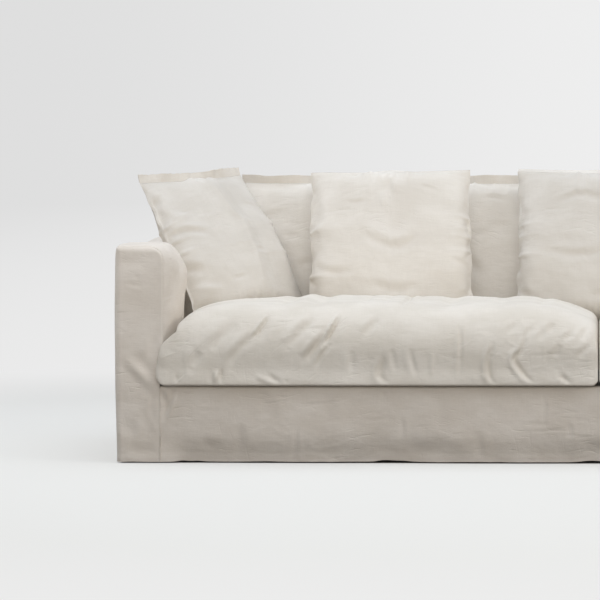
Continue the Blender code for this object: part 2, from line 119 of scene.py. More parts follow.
def crumple(across: Array, along: Array, seed: int, size: float, stretch: float) -> Array:
    """Shallow creases that cloth keeps from washing, in patches.

    Args:
        across: places on the cloth, in metres.
        along: places the other way.
        seed: picks the pattern.
        size: distance between creases, in metres.
        stretch: how much longer the creases are across than along.

    Returns:
        Values from 0, flat, to 1 on a crease's crest.
    """
    drift = smooth_noise(across / (2.0 * size), along / (2.0 * size), seed + 2)
    columns = across / (size * stretch) + 0.7 * drift
    rows = along / size + 0.9 * drift
    crest = 1.0 - np.abs(smooth_noise(columns, rows, seed)) * 2.6
    patch = ease(0.5 + 1.1 * smooth_noise(across / (5.0 * size), along / (5.0 * size), seed + 3))
    return np.clip(crest, 0.0, 1.0) ** 2 * patch


@dataclass(frozen=True)
class Crease:
    """A soft trough or ridge along a line drawn on the cloth.

    Attributes:
        path: the line's points on the cloth, (across, along) in metres.
        width: half the trough's width, in metres.
        depth: how deep it is, in metres; a ridge has a negative depth.
        lip: share of the depth that the cloth stands up beside it, on the left of the path.
    """

    path: tuple[Point, ...]
    width: float
    depth: float
    lip: float = 0.45

    def line(self) -> Array:
        """Returns points along a smooth curve through the path."""
        knots = np.array(self.path)
        knots = np.vstack([2 * knots[0] - knots[1], knots, 2 * knots[-1] - knots[-2]])
        share = np.linspace(0.0, 1.0, 9)[:-1, None]
        parts = []
        for a, b, c, d in zip(knots, knots[1:], knots[2:], knots[3:]):
            parts.append(
                0.5 * (2 * b + (c - a) * share + (2 * a - 5 * b + 4 * c - d) * share**2
                       + (3 * b - a - 3 * c + d) * share**3)
            )
        return np.vstack(parts + [knots[-2:-1]])

    def lift(self, across: Array, along: Array) -> Array:
        """Works out how far the crease moves the cloth outwards.

        Args:
            across: places on the cloth, in metres.
            along: places the other way.

        Returns:
            Distances in metres, negative in a trough.
        """
        line = self.line()
        reach = 4.0 * self.width
        near = (across > line[:, 0].min() - reach) & (across < line[:, 0].max() + reach)
        near &= (along > line[:, 1].min() - reach) & (along < line[:, 1].max() + reach)
        moved = np.zeros(across.shape)
        if not near.any():
            return moved
        place = np.stack([across[near], along[near]], -1)
        best = np.full(len(place), np.inf)
        signed, share = np.zeros(len(place)), np.zeros(len(place))
        steps = np.diff(line, axis=0)
        lengths = np.maximum(np.linalg.norm(steps, axis=1), 1e-9)
        starts = np.concatenate([[0.0], np.cumsum(lengths)])
        for begin, step, length, start in zip(line, steps, lengths, starts):
            t = np.clip((place - begin) @ step / length**2, 0.0, 1.0)
            off = place - begin - t[:, None] * step
            distance = np.hypot(off[:, 0], off[:, 1])
            nearer = distance < best
            best = np.where(nearer, distance, best)
            left = np.sign(step[0] * off[:, 1] - step[1] * off[:, 0])
            signed = np.where(nearer, left * distance, signed)
            share = np.where(nearer, (start + t * length) / starts[-1], share)
        taper = np.sin(np.pi * np.clip(share, 0.02, 0.98)) ** 0.7
        trough = bump(signed, self.width)
        lip = bump(signed - 1.7 * self.width, 1.1 * self.width)
        moved[near] = self.depth * taper * (self.lip * lip - trough)
        return moved


def relief(creases: tuple[Crease, ...], across: Array, along: Array) -> Array:
    """Returns how far a whole table of creases moves each place outwards, in metres."""
    return sum((crease.lift(across, along) for crease in creases), np.zeros(across.shape))


# ---- meshes from grids ----------------------------------------------------------
def grid_quads(rows: int, columns: int, start: int = 0) -> Array:
    """Returns the quads of a grid whose points are numbered row by row from start."""
    ids = start + np.arange(rows * columns).reshape(rows, columns)
    corners = (ids[:-1, :-1], ids[:-1, 1:], ids[1:, 1:], ids[1:, :-1])
    return np.stack(corners, -1).reshape(-1, 4)


def grid_normals(points: Array) -> Array:
    """Returns the outward unit normals of a grid seen with its columns left to right."""
    normals = np.cross(np.gradient(points, axis=1), np.gradient(points, axis=0))
    return normals / np.maximum(np.linalg.norm(normals, axis=2, keepdims=True), 1e-12)


def new_piece(name: str, points: Array, faces: list[Array], weave: Array) -> bpy.types.Object:
    """Makes one smooth-shaded mesh object.

    Args:
        name: the piece's name.
        points: its points, one row each, in metres.
        faces: arrays of faces, each array of one number of corners.
        weave: where each point lies on the cloth, in metres, kept as the UV map.

    Returns:
        The new object, at the origin.
    """
    mesh = bpy.data.meshes.new(name)
    mesh.vertices.add(len(points))
    mesh.vertices.foreach_set("co", points.astype(np.float32).ravel())
    corners = np.concatenate([part.ravel() for part in faces]).astype(np.int32)
    sides = np.concatenate([np.full(len(part), part.shape[1]) for part in faces])
    mesh.loops.add(len(corners))
    mesh.loops.foreach_set("vertex_index", corners)
    mesh.polygons.add(len(sides))
    starts = np.concatenate([[0], np.cumsum(sides)[:-1]]).astype(np.int32)
    mesh.polygons.foreach_set("loop_start", starts)
    mesh.update(calc_edges=True)
    layer = mesh.uv_layers.new(name=WEAVE)
    layer.data.foreach_set("uv", weave[corners].astype(np.float32).ravel())
    mesh.shade_smooth()
    mesh.set_sharp_from_angle(angle=SEAM_ANGLE)
    piece = bpy.data.objects.new(name, mesh)
    bpy.context.collection.objects.link(piece)
    return piece


def cloth_sheet(name: str, outer: Array, weave: Array, thickness: float) -> bpy.types.Object:
    """Makes a sheet of cloth from the grid of its outer face, closed all round.

    Args:
        name: the piece's name.
        outer: the outer face's points, rows by columns by 3.
        weave: where those points lie on the flat cloth, rows by columns by 2.
        thickness: the cloth's thickness, in metres.

    Returns:
        The new object.
    """
    rows, columns = outer.shape[:2]
    count = rows * columns
    inner = outer - thickness * grid_normals(outer)
    ids = np.arange(count).reshape(rows, columns)
    ring = np.concatenate([ids[0, :-1], ids[:-1, -1], ids[-1, :0:-1], ids[:0:-1, 0]])
    after = np.roll(ring, -1)
    rim = np.stack([after, ring, ring + count, after + count], -1)
    faces = [
        grid_quads(rows, columns),
        grid_quads(rows, columns, count)[:, ::-1],
        rim,
    ]
    points = np.vstack([outer.reshape(-1, 3), inner.reshape(-1, 3)])
    flat = weave.reshape(-1, 2)
    return new_piece(name, points, faces, np.vstack([flat, flat]))


def spaced(*runs: tuple[float, float, int]) -> Array:
    """Joins even runs of places, each (start, end, steps), into one rising row."""
    parts = [np.linspace(start, end, steps, endpoint=False) for start, end, steps in runs]
    return np.concatenate(parts + [[runs[-1][1]]])


# ---- finishes --------------------------------------------------------------------
class NodeDesk:
    """Adds and joins the nodes of one material or world."""

    def __init__(self, tree: bpy.types.NodeTree) -> None:
        """Starts on an empty copy of the tree."""
        self.tree = tree
        tree.nodes.clear()

    def add(self, kind: str, inputs: Optional[dict] = None, **settings: object) -> bpy.types.Node:
        """Adds a node.

        Args:
            kind: the node's type name without its ShaderNode prefix.
            inputs: socket name or number to a value, or to an output socket to link.
            settings: the node's own properties.

        Returns:
            The new node.
        """
        node = self.tree.nodes.new("ShaderNode" + kind)
        for name, value in settings.items():
            setattr(node, name, value)
        for socket, value in (inputs or {}).items():
            if isinstance(value, bpy.types.NodeSocket):
                self.tree.links.new(value, node.inputs[socket])
            else:
                node.inputs[socket].default_value = value
        return node

    def math(self, operation: str, a: object, b: object = 0.0) -> bpy.types.NodeSocket:
        """Adds a Math node on two values or sockets and returns its output."""
        return self.add("Math", {0: a, 1: b}, operation=operation).outputs[0]

    def weighted(self, *parts: tuple[bpy.types.NodeSocket, float]) -> bpy.types.NodeSocket:
        """Adds up sockets, each times its own weight, and returns the sum's socket."""
        total = 0.0
        for value, weight in parts:
            total = self.math("ADD", self.math("MULTIPLY", value, weight), total)
        return total

    def stretched_noise(self, place: bpy.types.NodeSocket, scale: Point, detail: float,
                        roughness: float = 0.5, turn: float = 0.0) -> bpy.types.NodeSocket:
        """Adds noise with its own scale across and along the cloth.

        Args:
            place: the coordinates, in metres.
            scale: bumps in each metre across and along.
            detail: the noise's detail.
            roughness: how strong the detail is.
            turn: how far the noise is turned on the cloth, in degrees.

        Returns:
            The noise's value socket.
        """
        turned = self.add("Mapping", {"Vector": place, "Rotation": (0.0, 0.0, math.radians(turn))})
        mapping = self.add("Mapping", {"Vector": turned.outputs[0], "Scale": (*scale, 1.0)})
        noise = self.add(
            "TexNoise",
            {"Vector": mapping.outputs[0], "Scale": 1.0, "Detail": detail, "Roughness": roughness},
            noise_dimensions="2D",
        )
        return noise.outputs[0]

    def stepped(self, value: bpy.types.NodeSocket, low: float, high: float) -> bpy.types.NodeSocket:
        """Returns a socket that eases from 0 to 1 as value goes from low to high."""
        mapped = self.add(
            "MapRange",
            {"Value": value, "From Min": low, "From Max": high},
            interpolation_type="SMOOTHSTEP",
        )
        return mapped.outputs[0]


def blank_material(name: str) -> tuple[bpy.types.Material, NodeDesk]:
    """Makes a material without nodes, and the desk that adds them."""
    made = bpy.data.materials.new(name)
    made.use_nodes = True
    return made, NodeDesk(made.node_tree)


@dataclass(frozen=True)
class LinenFinish:
    """Washed linen: two-tone threads, slubs both ways, fine creases, soft mottling."""

    name: str
    light: Colour
    dark: Colour
    thread: float = 0.0011
    thread_relief: float = 0.00003
    slub_relief: float = 0.00010
    crease_relief: float = 0.0006
    swell_relief: float = 0.0010
    roughness: float = 0.93
    sheen: float = 0.10
    streaks: tuple = (
        # turn in degrees, bumps in each metre (across, along), share, patches in each metre
        (7.0, (20.0, 118.0), 1.0, (6.0, 8.0)),
        (-9.0, (15.0, 84.0), 1.2, (5.0, 7.0)),
        (16.0, (30.0, 140.0), 0.7, (8.0, 8.0)),
        (-3.0, (6.0, 36.0), 1.6, (3.0, 5.0)),
        (78.0, (14.0, 70.0), 0.6, (4.0, 4.0)),
    )
    drag: tuple = ()

    def with_painted_shade(self, shade: float) -> "LinenFinish":
        """Returns a copy of the cloth whose colours are multiplied by a factor, as painted shade; 1 leaves
        it as it is.
        """
        light, dark = (tuple(shade * part for part in tone) for tone in (self.light, self.dark))
        return replace(self, name=f"{self.name}_{round(100 * shade)}", light=light, dark=dark)

    def material(self) -> bpy.types.Material:
        """Builds the finish's material on the piece's own weave map."""
        made, desk = blank_material(self.name)
        place = desk.add("UVMap", uv_map=WEAVE).outputs[0]
        weft = desk.stretched_noise(place, (22.0, 420.0), 3.0, 0.6)
        warp = desk.stretched_noise(place, (380.0, 20.0), 2.0)
        mottle = desk.stretched_noise(place, (7.0, 12.0), 4.0, 0.55)
        swell = desk.stretched_noise(place, (26.0, 44.0), 2.0)
        tone = desk.weighted((weft, 0.22), (warp, 0.12), (mottle, 0.66))
        tone = desk.stepped(tone, 0.34, 0.68)
        colour = desk.add(
            "Mix",
            {0: tone, 6: (*self.dark, 1.0), 7: (*self.light, 1.0)},
            data_type="RGBA",
        )
        height = desk.weighted(
            (weft, self.slub_relief),
            (warp, 0.5 * self.slub_relief),
            (self.fine_creases(desk, place), -self.crease_relief),
            (swell, self.swell_relief),
            (self.threads(desk, place), self.thread_relief),
        )
        relief_node = desk.add("Bump", {"Strength": 1.0, "Distance": 1.0, "Height": height})
        shader = desk.add(
            "BsdfPrincipled",
            {
                "Base Color": colour.outputs[2],
                "Roughness": self.roughness,
                "Specular IOR Level": 0.2,
                "Sheen Weight": self.sheen,
                "Sheen Roughness": 0.6,
                "Normal": relief_node.outputs[0],
            },
        )
        desk.add("OutputMaterial", {"Surface": shader.outputs[0]})
        return made

    def fine_creases(self, desk: NodeDesk, place: bpy.types.NodeSocket) -> bpy.types.NodeSocket:
        """Returns soft washed creases: short streaks in patches, 0 off them and 1 on them."""
        parts = []
        for turn, scale, share, patch in self.streaks + self.drag:
            streak = desk.stepped(desk.stretched_noise(place, scale, 2.0, 0.45, turn), 0.60, 0.84)
            where = desk.stretched_noise(place, patch, 1.0, 0.5, 4.0 * turn)
            where = desk.stepped(where, 0.50, 0.68)
            parts.append((desk.math("MULTIPLY", streak, where), share))
        return desk.weighted(*parts)

    def threads(self, desk: NodeDesk, place: bpy.types.NodeSocket) -> bpy.types.NodeSocket:
        """Returns the plain weave's threads, -1 in a gap and 1 on a thread's crown."""
        turn = 2.0 * math.pi / self.thread
        split = desk.add("SeparateXYZ", {0: place})
        across = desk.math("SINE", desk.math("MULTIPLY", split.outputs[0], turn))
        along = desk.math("SINE", desk.math("MULTIPLY", split.outputs[1], turn))
        return desk.math("MULTIPLY", across, along)


# ---- what every piece shares -------------------------------------------------------
class Side(Enum):
    """Which end of the sofa a piece is on, as seen from the front."""

    LEFT = -1.0
    RIGHT = 1.0

    @property
    def label(self) -> str:
        """The side's word in node names."""
        return self.name.lower()


class Hold(Enum):
    """How a sheet of cloth is held."""

    STRETCHED = "stretched"
    HUNG = "hung"
    LAID = "laid"
    FOLDED = "folded"


def dress(piece: bpy.types.Object, material: bpy.types.Material, node: str) -> None:
    """Gives a piece its finish and lets it stand for its node on the one body.

    Args:
        piece: the finished piece.
        material: its finish.
        node: the node that it replaces.
    """
    piece.data.materials.append(material)
    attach(piece, BODY)
    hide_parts(node)
    LOG.info("%s stands for %s with %d faces", piece.name, node, len(piece.data.polygons))


# ---- the fitted cover --------------------------------------------------------------
@dataclass(frozen=True)
class ArmCut:
    """The arm's cross-section at one distance from front to back."""

    y: float
    inner: float
    roll_width: float
    roll_height: float
    top: float


ARM_CUTS = (
    ArmCut(-0.4850, 1.1870, 0.040, 0.040, 0.5970),
    ArmCut(-0.4400, 1.1730, 0.044, 0.060, 0.5985),
    ArmCut(-0.3600, 1.1600, 0.050, 0.088, 0.6005),
    ArmCut(-0.2400, 1.1560, 0.058, 0.100, 0.6010),
    ArmCut(-0.1500, 1.1745, 0.084, 0.150, 0.5970),
    ArmCut(-0.0600, 1.1900, 0.090, 0.160, 0.5910),
    ArmCut(0.1100, 1.1880, 0.086, 0.140, 0.5890),
    ArmCut(0.2900, 1.1810, 0.060, 0.090, 0.5920),
    ArmCut(0.4000, 1.1810, 0.006, 0.010, 0.5965),
    ArmCut(0.5172, 1.1810, 0.006, 0.010, 0.5970),
)

APRON_CREASES = (
    # (across from the middle, height) of each point, half-width, depth
    Crease(((-1.196, 0.208), (-1.187, 0.178), (-1.181, 0.148)), 0.006, 0.0050),
    Crease(((-1.158, 0.210), (-1.174, 0.168), (-1.191, 0.122)), 0.007, 0.0062, 0.7),
    Crease(((-1.148, 0.208), (-1.156, 0.180)), 0.006, 0.0034),
    Crease(((-1.104, 0.147), (-1.075, 0.145), (-1.042, 0.144)), 0.004, 0.0012),
    Crease(((-1.090, 0.060), (-1.060, 0.045), (-1.020, 0.048)), 0.016, 0.0022),
    Crease(((-0.985, 0.110), (-0.980, 0.060), (-0.990, 0.020)), 0.014, 0.0022),
    Crease(((-0.824, 0.095), (-0.826, 0.055), (-0.836, 0.012)), 0.007, 0.0022),
    Crease(((-0.940, 0.205), (-0.915, 0.170), (-0.905, 0.120)), 0.020, 0.0018),
    Crease(((-0.745, 0.200), (-0.735, 0.150), (-0.750, 0.095)), 0.018, 0.0016),
    Crease(((-0.642, 0.122), (-0.610, 0.119), (-0.570, 0.121)), 0.004, 0.0014),
    Crease(((-0.590, 0.202), (-0.584, 0.178)), 0.006, 0.0020),
    Crease(((-0.537, 0.130), (-0.533, 0.095), (-0.538, 0.060)), 0.006, 0.0020),
    Crease(((-0.520, 0.045), (-0.470, 0.034), (-0.400, 0.042)), 0.020, 0.0026),
    Crease(((-0.445, 0.200), (-0.430, 0.150), (-0.436, 0.080)), 0.020, 0.0016),
    Crease(((-0.330, 0.090), (-0.322, 0.040), (-0.330, 0.010)), 0.012, 0.0018),
    Crease(((-0.205, 0.107), (-0.165, 0.109), (-0.120, 0.106)), 0.004, 0.0012),
    Crease(((-0.150, 0.186), (-0.146, 0.150), (-0.150, 0.108)), 0.006, 0.0016),
    Crease(((-0.082, 0.112), (-0.078, 0.084), (-0.084, 0.060)), 0.007, 0.0020),
    Crease(((-0.060, 0.050), (0.010, 0.034), (0.090, 0.046)), 0.020, 0.0024),
    Crease(((0.120, 0.205), (0.128, 0.150), (0.118, 0.070)), 0.016, 0.0018),
    Crease(((0.210, 0.128), (0.250, 0.124), (0.300, 0.127)), 0.004, 0.0013),
    Crease(((0.345, 0.110), (0.352, 0.060), (0.344, 0.015)), 0.009, 0.0022),
    Crease(((0.430, 0.202), (0.440, 0.170)), 0.007, 0.0018),
    Crease(((0.500, 0.060), (0.560, 0.042), (0.640, 0.050)), 0.022, 0.0024),
    Crease(((0.610, 0.190), (0.600, 0.130), (0.612, 0.085)), 0.016, 0.0018),
    Crease(((0.700, 0.148), (0.742, 0.145), (0.790, 0.149)), 0.004, 0.0013),
    Crease(((0.850, 0.100), (0.842, 0.055), (0.850, 0.012)), 0.008, 0.0022),
    Crease(((0.930, 0.200), (0.920, 0.150), (0.934, 0.090)), 0.018, 0.0018),
    Crease(((1.010, 0.055), (1.050, 0.044), (1.095, 0.054)), 0.018, 0.0022),
    Crease(((1.152, 0.206), (1.166, 0.160), (1.186, 0.118)), 0.007, 0.0032),
    Crease(((1.192, 0.210), (1.184, 0.176), (1.178, 0.152)), 0.006, 0.0028),
)

FACING_CREASES = (
    # (distance from the middle, height): the left facing's; the right one mirrors it
    Crease(((1.292, 0.290), (1.252, 0.248), (1.208, 0.200)), 0.013, -0.0042, 0.35),
    Crease(((1.262, 0.300), (1.232, 0.262), (1.212, 0.232)), 0.014, 0.0026),
    Crease(((1.290, 0.494), (1.268, 0.488), (1.246, 0.486)), 0.005, 0.0016),
    Crease(((1.270, 0.510), (1.252, 0.507)), 0.004, 0.0012),
    Crease(((1.206, 0.350), (1.216, 0.320), (1.222, 0.285)), 0.012, 0.0024),
    Crease(((1.300, 0.120), (1.280, 0.090), (1.262, 0.078)), 0.020, 0.0026),
    Crease(((1.240, 0.150), (1.232, 0.105), (1.238, 0.060)), 0.014, 0.0022),
    Crease(((1.290, 0.050), (1.250, 0.036), (1.214, 0.046)), 0.018, 0.0026),
    Crease(((1.310, 0.560), (1.280, 0.552), (1.240, 0.560)), 0.018, 0.0014),
    Crease(((1.215, 0.190), (1.222, 0.150), (1.212, 0.110)), 0.008, 0.0018),
)

WRAP_CREASES = (
    # (distance behind the front, length of cloth up from the deck)
    Crease(((0.020, 0.180), (0.055, 0.250), (0.060, 0.330)), 0.016, 0.0026),
    Crease(((0.110, 0.280), (0.150, 0.340), (0.155, 0.400)), 0.018, 0.0030),
    Crease(((0.040, 0.405), (0.090, 0.420), (0.140, 0.412)), 0.010, 0.0018),
    Crease(((0.200, 0.300), (0.235, 0.360), (0.230, 0.430)), 0.015, 0.0028),
    Crease(((0.300, 0.360), (0.330, 0.420), (0.322, 0.480)), 0.016, 0.0032),
    Crease(((0.360, 0.420), (0.430, 0.440), (0.500, 0.425)), 0.014, 0.0026),
    Crease(((0.540, 0.350), (0.570, 0.420), (0.560, 0.480)), 0.018, 0.0030),
    Crease(((0.640, 0.400), (0.720, 0.415), (0.790, 0.400)), 0.012, 0.0022),
    Crease(((0.700, 0.330), (0.735, 0.380), (0.740, 0.440)), 0.015, 0.0024),
)

DROP_CREASES = (
    # (distance behind the front, height) on the arm's outer side
    Crease(((0.060, 0.540), (0.100, 0.430), (0.108, 0.300)), 0.022, 0.0034),
    Crease(((0.180, 0.300), (0.200, 0.180), (0.190, 0.030)), 0.018, 0.0030),
    Crease(((0.300, 0.520), (0.320, 0.400), (0.305, 0.250)), 0.026, 0.0030),
    Crease(((0.360, 0.220), (0.372, 0.110), (0.366, 0.015)), 0.016, 0.0034),
    Crease(((0.450, 0.470), (0.520, 0.450), (0.600, 0.468)), 0.014, 0.0020),
    Crease(((0.560, 0.360), (0.575, 0.220), (0.560, 0.060)), 0.022, 0.0034),
    Crease(((0.700, 0.540), (0.712, 0.430), (0.690, 0.310)), 0.022, 0.0028),
    Crease(((0.760, 0.260), (0.775, 0.140), (0.765, 0.015)), 0.016, 0.0034),
    Crease(((0.880, 0.520), (0.862, 0.400), (0.872, 0.250)), 0.020, 0.0030),
    Crease(((0.180, 0.440), (0.232, 0.432), (0.280, 0.445)), 0.007, 0.0016),
    Crease(((0.640, 0.180), (0.690, 0.172), (0.735, 0.184)), 0.006, 0.0015),
    Crease(((0.940, 0.180), (0.948, 0.090), (0.940, 0.012)), 0.012, 0.0028),
)

REAR_CREASES = (
    # (across from the middle, height) on the back's outer side
    Crease(((-1.240, 0.550), (-1.200, 0.420), (-1.212, 0.270)), 0.022, 0.0032),
    Crease(((-1.100, 0.330), (-1.085, 0.190), (-1.100, 0.020)), 0.018, 0.0034),
    Crease(((-0.960, 0.520), (-0.930, 0.400), (-0.945, 0.260)), 0.026, 0.0030),
    Crease(((-0.840, 0.240), (-0.826, 0.130), (-0.838, 0.012)), 0.016, 0.0036),
    Crease(((-0.700, 0.540), (-0.712, 0.400), (-0.690, 0.220)), 0.024, 0.0030),
    Crease(((-0.560, 0.420), (-0.480, 0.405), (-0.390, 0.425)), 0.012, 0.0020),
    Crease(((-0.520, 0.260), (-0.505, 0.140), (-0.520, 0.014)), 0.017, 0.0034),
    Crease(((-0.330, 0.540), (-0.318, 0.410), (-0.335, 0.260)), 0.024, 0.0030),
    Crease(((-0.190, 0.300), (-0.176, 0.160), (-0.190, 0.018)), 0.018, 0.0034),
    Crease(((-0.060, 0.520), (-0.040, 0.380), (-0.055, 0.210)), 0.024, 0.0028),
    Crease(((0.080, 0.200), (0.160, 0.188), (0.240, 0.205)), 0.008, 0.0018),
    Crease(((0.150, 0.550), (0.162, 0.430), (0.150, 0.300)), 0.022, 0.0028),
    Crease(((0.300, 0.300), (0.316, 0.150), (0.302, 0.016)), 0.018, 0.0036),
    Crease(((0.470, 0.540), (0.455, 0.400), (0.470, 0.230)), 0.024, 0.0030),
    Crease(((0.600, 0.370), (0.680, 0.356), (0.760, 0.372)), 0.010, 0.0018),
    Crease(((0.640, 0.250), (0.655, 0.130), (0.642, 0.014)), 0.016, 0.0034),
    Crease(((0.820, 0.540), (0.836, 0.400), (0.820, 0.240)), 0.024, 0.0030),
    Crease(((0.970, 0.290), (0.985, 0.150), (0.972, 0.018)), 0.018, 0.0034),
    Crease(((1.120, 0.540), (1.108, 0.410), (1.124, 0.250)), 0.022, 0.0030),
    Crease(((1.236, 0.260), (1.246, 0.130), (1.238, 0.014)), 0.015, 0.0032),
)

INSIDE_BACK_CREASES = (
    # (across from the middle, length of cloth up from the deck)
    Crease(((-1.050, 0.330), (-0.960, 0.345), (-0.880, 0.335)), 0.014, 0.0016),
    Crease(((-0.560, 0.405), (-0.480, 0.415), (-0.380, 0.402)), 0.010, 0.0014),
    Crease(((-0.060, 0.395), (0.030, 0.408), (0.110, 0.396)), 0.010, 0.0014),
    Crease(((0.420, 0.410), (0.500, 0.400), (0.590, 0.414)), 0.010, 0.0014),
    Crease(((0.900, 0.400), (0.980, 0.412), (1.060, 0.398)), 0.012, 0.0016),
    Crease(((-0.800, 0.470), (-0.760, 0.500), (-0.750, 0.540)), 0.010, 0.0014),
    Crease(((0.200, 0.470), (0.240, 0.505), (0.245, 0.545)), 0.010, 0.0014),
    Crease(((0.760, 0.465), (0.800, 0.500), (0.790, 0.545)), 0.010, 0.0014),
)

HEM_LIFTS = (
    # place along the front hem, half-length, lift
    (-1.272, 0.030, 0.0012),
    (-1.140, 0.016, 0.0030),
    (-1.100, 0.022, 0.0022),
    (-0.930, 0.060, 0.0010),
    (-0.585, 0.026, 0.0046),
    (-0.540, 0.030, 0.0030),
    (-0.350, 0.080, 0.0008),
    (-0.020, 0.034, 0.0040),
    (0.240, 0.070, 0.0014),
    (0.520, 0.030, 0.0036),
    (0.790, 0.060, 0.0012),
    (1.060, 0.028, 0.0034),
    (1.270, 0.030, 0.0014),
)


@dataclass
class FittedCover:
    """The cover over the sofa's arms, back, deck and front."""

    material: bpy.types.Material
    half_width: float = 1.321
    front: float = -0.485
    back: float = 0.520
    top: float = 0.597
    cloth: float = 0.0022
    hem_clear: float = 0.0036
    hang_depth: float = 0.004
    hem_tuck: float = 0.016
    tuck_rise: float = 0.095
    seat_level: float = 0.2120
    seam_gap: float = 0.0003
    upper_seam_gap: float = 0.0018
    deck_half_width: float = 1.180
    deck_front: float = -0.430
    apron_half_width: float = 1.199
    apron_edge_radius: float = 0.010
    face_foot: float = 1.1996
    face_inner: float = 1.187
    face_splay_run: float = 0.040
    face_round: float = 0.018
    inner_crisp: float = 3.0
    face_seam_turn: float = math.radians(52.0)
    outer_radius: float = 0.014
    inner_radius: float = 0.040
    roll_bulge: float = 0.010
    bulge_place: Point = (-0.25, 0.515)
    bulge_reach: Point = (0.110, 0.055)
    outer_seam: float = 0.5825
    outer_bow: float = 0.003
    tuck: float = 0.020
    back_foot: float = 0.312
    back_lean: float = math.radians(14.0)
    back_roll: float = 0.035
    back_half_width: float = 1.1806
    groove: float = 0.0005
    rear_turn: float = math.radians(86.0)
    facing_swell: float = 0.0035
    corner_turn: float = 0.006
    outer_band: float = 0.05

    @property
    def face_seam(self) -> float:
        """Where the arm's own panels meet the facing, part way round its edge."""
        turned = self.face_round * (1.0 - math.cos(self.face_seam_turn))
        return self.front + turned + self.seam_gap

    def build(self) -> None:
        """Builds all ten panels."""
        self.front_apron()
        self.deck()
        self.inside_back()
        self.outside_back()
        for side in Side:
            self.arm_front(side)
            self.arm_inside(side)
            self.arm_outside(side)

    def panel(
        self,
        node: str,
        points: Array,
        weave: Array,
        lift: Array,
        mirrored: bool = False,
    ) -> bpy.types.Object:
        """Turns one panel's smooth grid into its finished sheet.

        Args:
            node: the node that the panel stands for.
            points: the smooth outer face, rows by columns by 3.
            weave: where the points lie on the flat cloth.
            lift: how far each point moves outwards.
            mirrored: True for the right-hand copy of a left-hand panel.

        Returns:
            The panel.
        """
        points = points + lift[:, :, None] * grid_normals(points)
        if mirrored:
            points = points[:, ::-1] * np.array([-1.0, 1.0, 1.0])
            weave = weave[:, ::-1]
        piece = cloth_sheet(f"{node}_cloth", points, weave, self.cloth)
        dress(piece, self.material, node)
        return piece

    # -- helpers the panels share
    def hem(self, along: Array) -> Array:
        """Returns how high the front hem stands at each place along it."""
        height = self.hem_clear + 0.0004 * smooth_noise(along / 0.06, along * 0.0, 5)
        for place, half, lift in HEM_LIFTS:
            height = height + lift * bump(along - place, half)
        return height

    def rear_hem(self, along: Array, phase: float) -> Array:
        """Returns the hem's height round the sides and the back."""
        wave = np.sin(along * 9.0 + phase) + 0.6 * np.sin(along * 23.0 + 2.0 * phase)
        return self.hem_clear + 0.0026 * np.maximum(wave, 0.0)

    def hang(self, along: Array, height: Array, phase: float, share: Array) -> Array:
        """Returns the soft in-and-out of a hanging panel, which fades at its seams."""
        slack = 1.0 - ease(height / self.seat_level)
        free = ease(np.minimum(share, 1.0 - share) / 0.04)
        return self.hang_depth * slack * free * np.sin(along * 11.0 + phase)

    def hem_band(self, height: Array) -> Array:
        """Returns the relief of the turned-up hem: a fuller band under a sewn line."""
        band = 0.0005 * (1.0 - ease((height - 0.020) / 0.004))
        return band - 0.0005 * bump(height - 0.0225, 0.0016)

    def slack(self, across: Array, along: Array, seed: int, depth: float) -> Array:
        """Returns lumps and washed creases for a cover panel, in metres."""
        lift = depth * lumps(across, along, seed)
        lift += 0.30 * depth * (crumple(across, along, seed + 20, 0.030, 2.2) - 0.2)
        return lift

    def seam_groove(self, distance: Array) -> Array:
        """Returns how far cloth pulls in at a seam, at a distance from it."""
        return -self.groove * bump(distance, 0.0035) - 0.0008 * bump(distance, 0.014)

    # -- panels
    def front_apron(self) -> None:
        """Skirt under the seat cushions, turned back over the frame's edge to the deck."""
        radius = self.apron_edge_radius
        upright = self.seat_level - radius
        arc = radius * math.pi / 2.0
        level = self.deck_front - self.seam_gap - (self.front + radius)
        across = np.linspace(-self.apron_half_width, self.apron_half_width, 420)
        ends = np.cumsum([upright, arc, level])
        run = spaced((0.0, ends[0], 36), (ends[0], ends[1], 8), (ends[1], ends[2], 5))
        x, s = np.meshgrid(across, run)
        turn = np.clip((s - upright) / radius, 0.0, math.pi / 2.0)
        beyond = np.maximum(s - upright - arc, 0.0)
        hanging = blend(self.hem(x), upright, s / upright)
        z = np.where(s <= upright, hanging, upright + radius * np.sin(turn))
        share = (x + self.apron_half_width) / (2.0 * self.apron_half_width)
        y = self.front + radius * (1.0 - np.cos(turn)) + beyond
        free = ease(np.minimum(share, 1.0 - share) / 0.03)
        y = y + np.where(s <= upright, self.hang(x, z, 1.3, share), 0.0)
        y = y + self.hem_tuck * free * ease(1.0 - z / self.tuck_rise) ** 1.4
        lift = relief(APRON_CREASES, x, s)
        lift += self.slack(x, s, 11, 0.0022) * (1.0 + 1.1 * ease((0.12 - s) / 0.05))
        lift += 0.3 * self.seam_groove(self.apron_half_width - np.abs(x))
        lift *= 1.0 - ease((s - upright) / arc)
        lift += self.hem_band(s)
        self.panel(
            "front_apron",
            np.stack([x, y, z], -1),
            np.stack([x, s], -1),
            lift,
        )

    def deck(self) -> None:
        """Flat cloth that lies on the seat platform under the cushions."""
        across = np.linspace(-self.deck_half_width, self.deck_half_width, 90)
        back = np.linspace(self.deck_front, self.back_foot - self.seam_gap, 34)
        x, y = np.meshgrid(across, back)
        z = np.full(x.shape, self.seat_level)
        lift = 0.0004 * lumps(x, y, 17) - 0.0006
        self.panel(
            "deck",
            np.stack([x, y, z], -1),
            np.stack([x, y], -1),
            lift,
        )

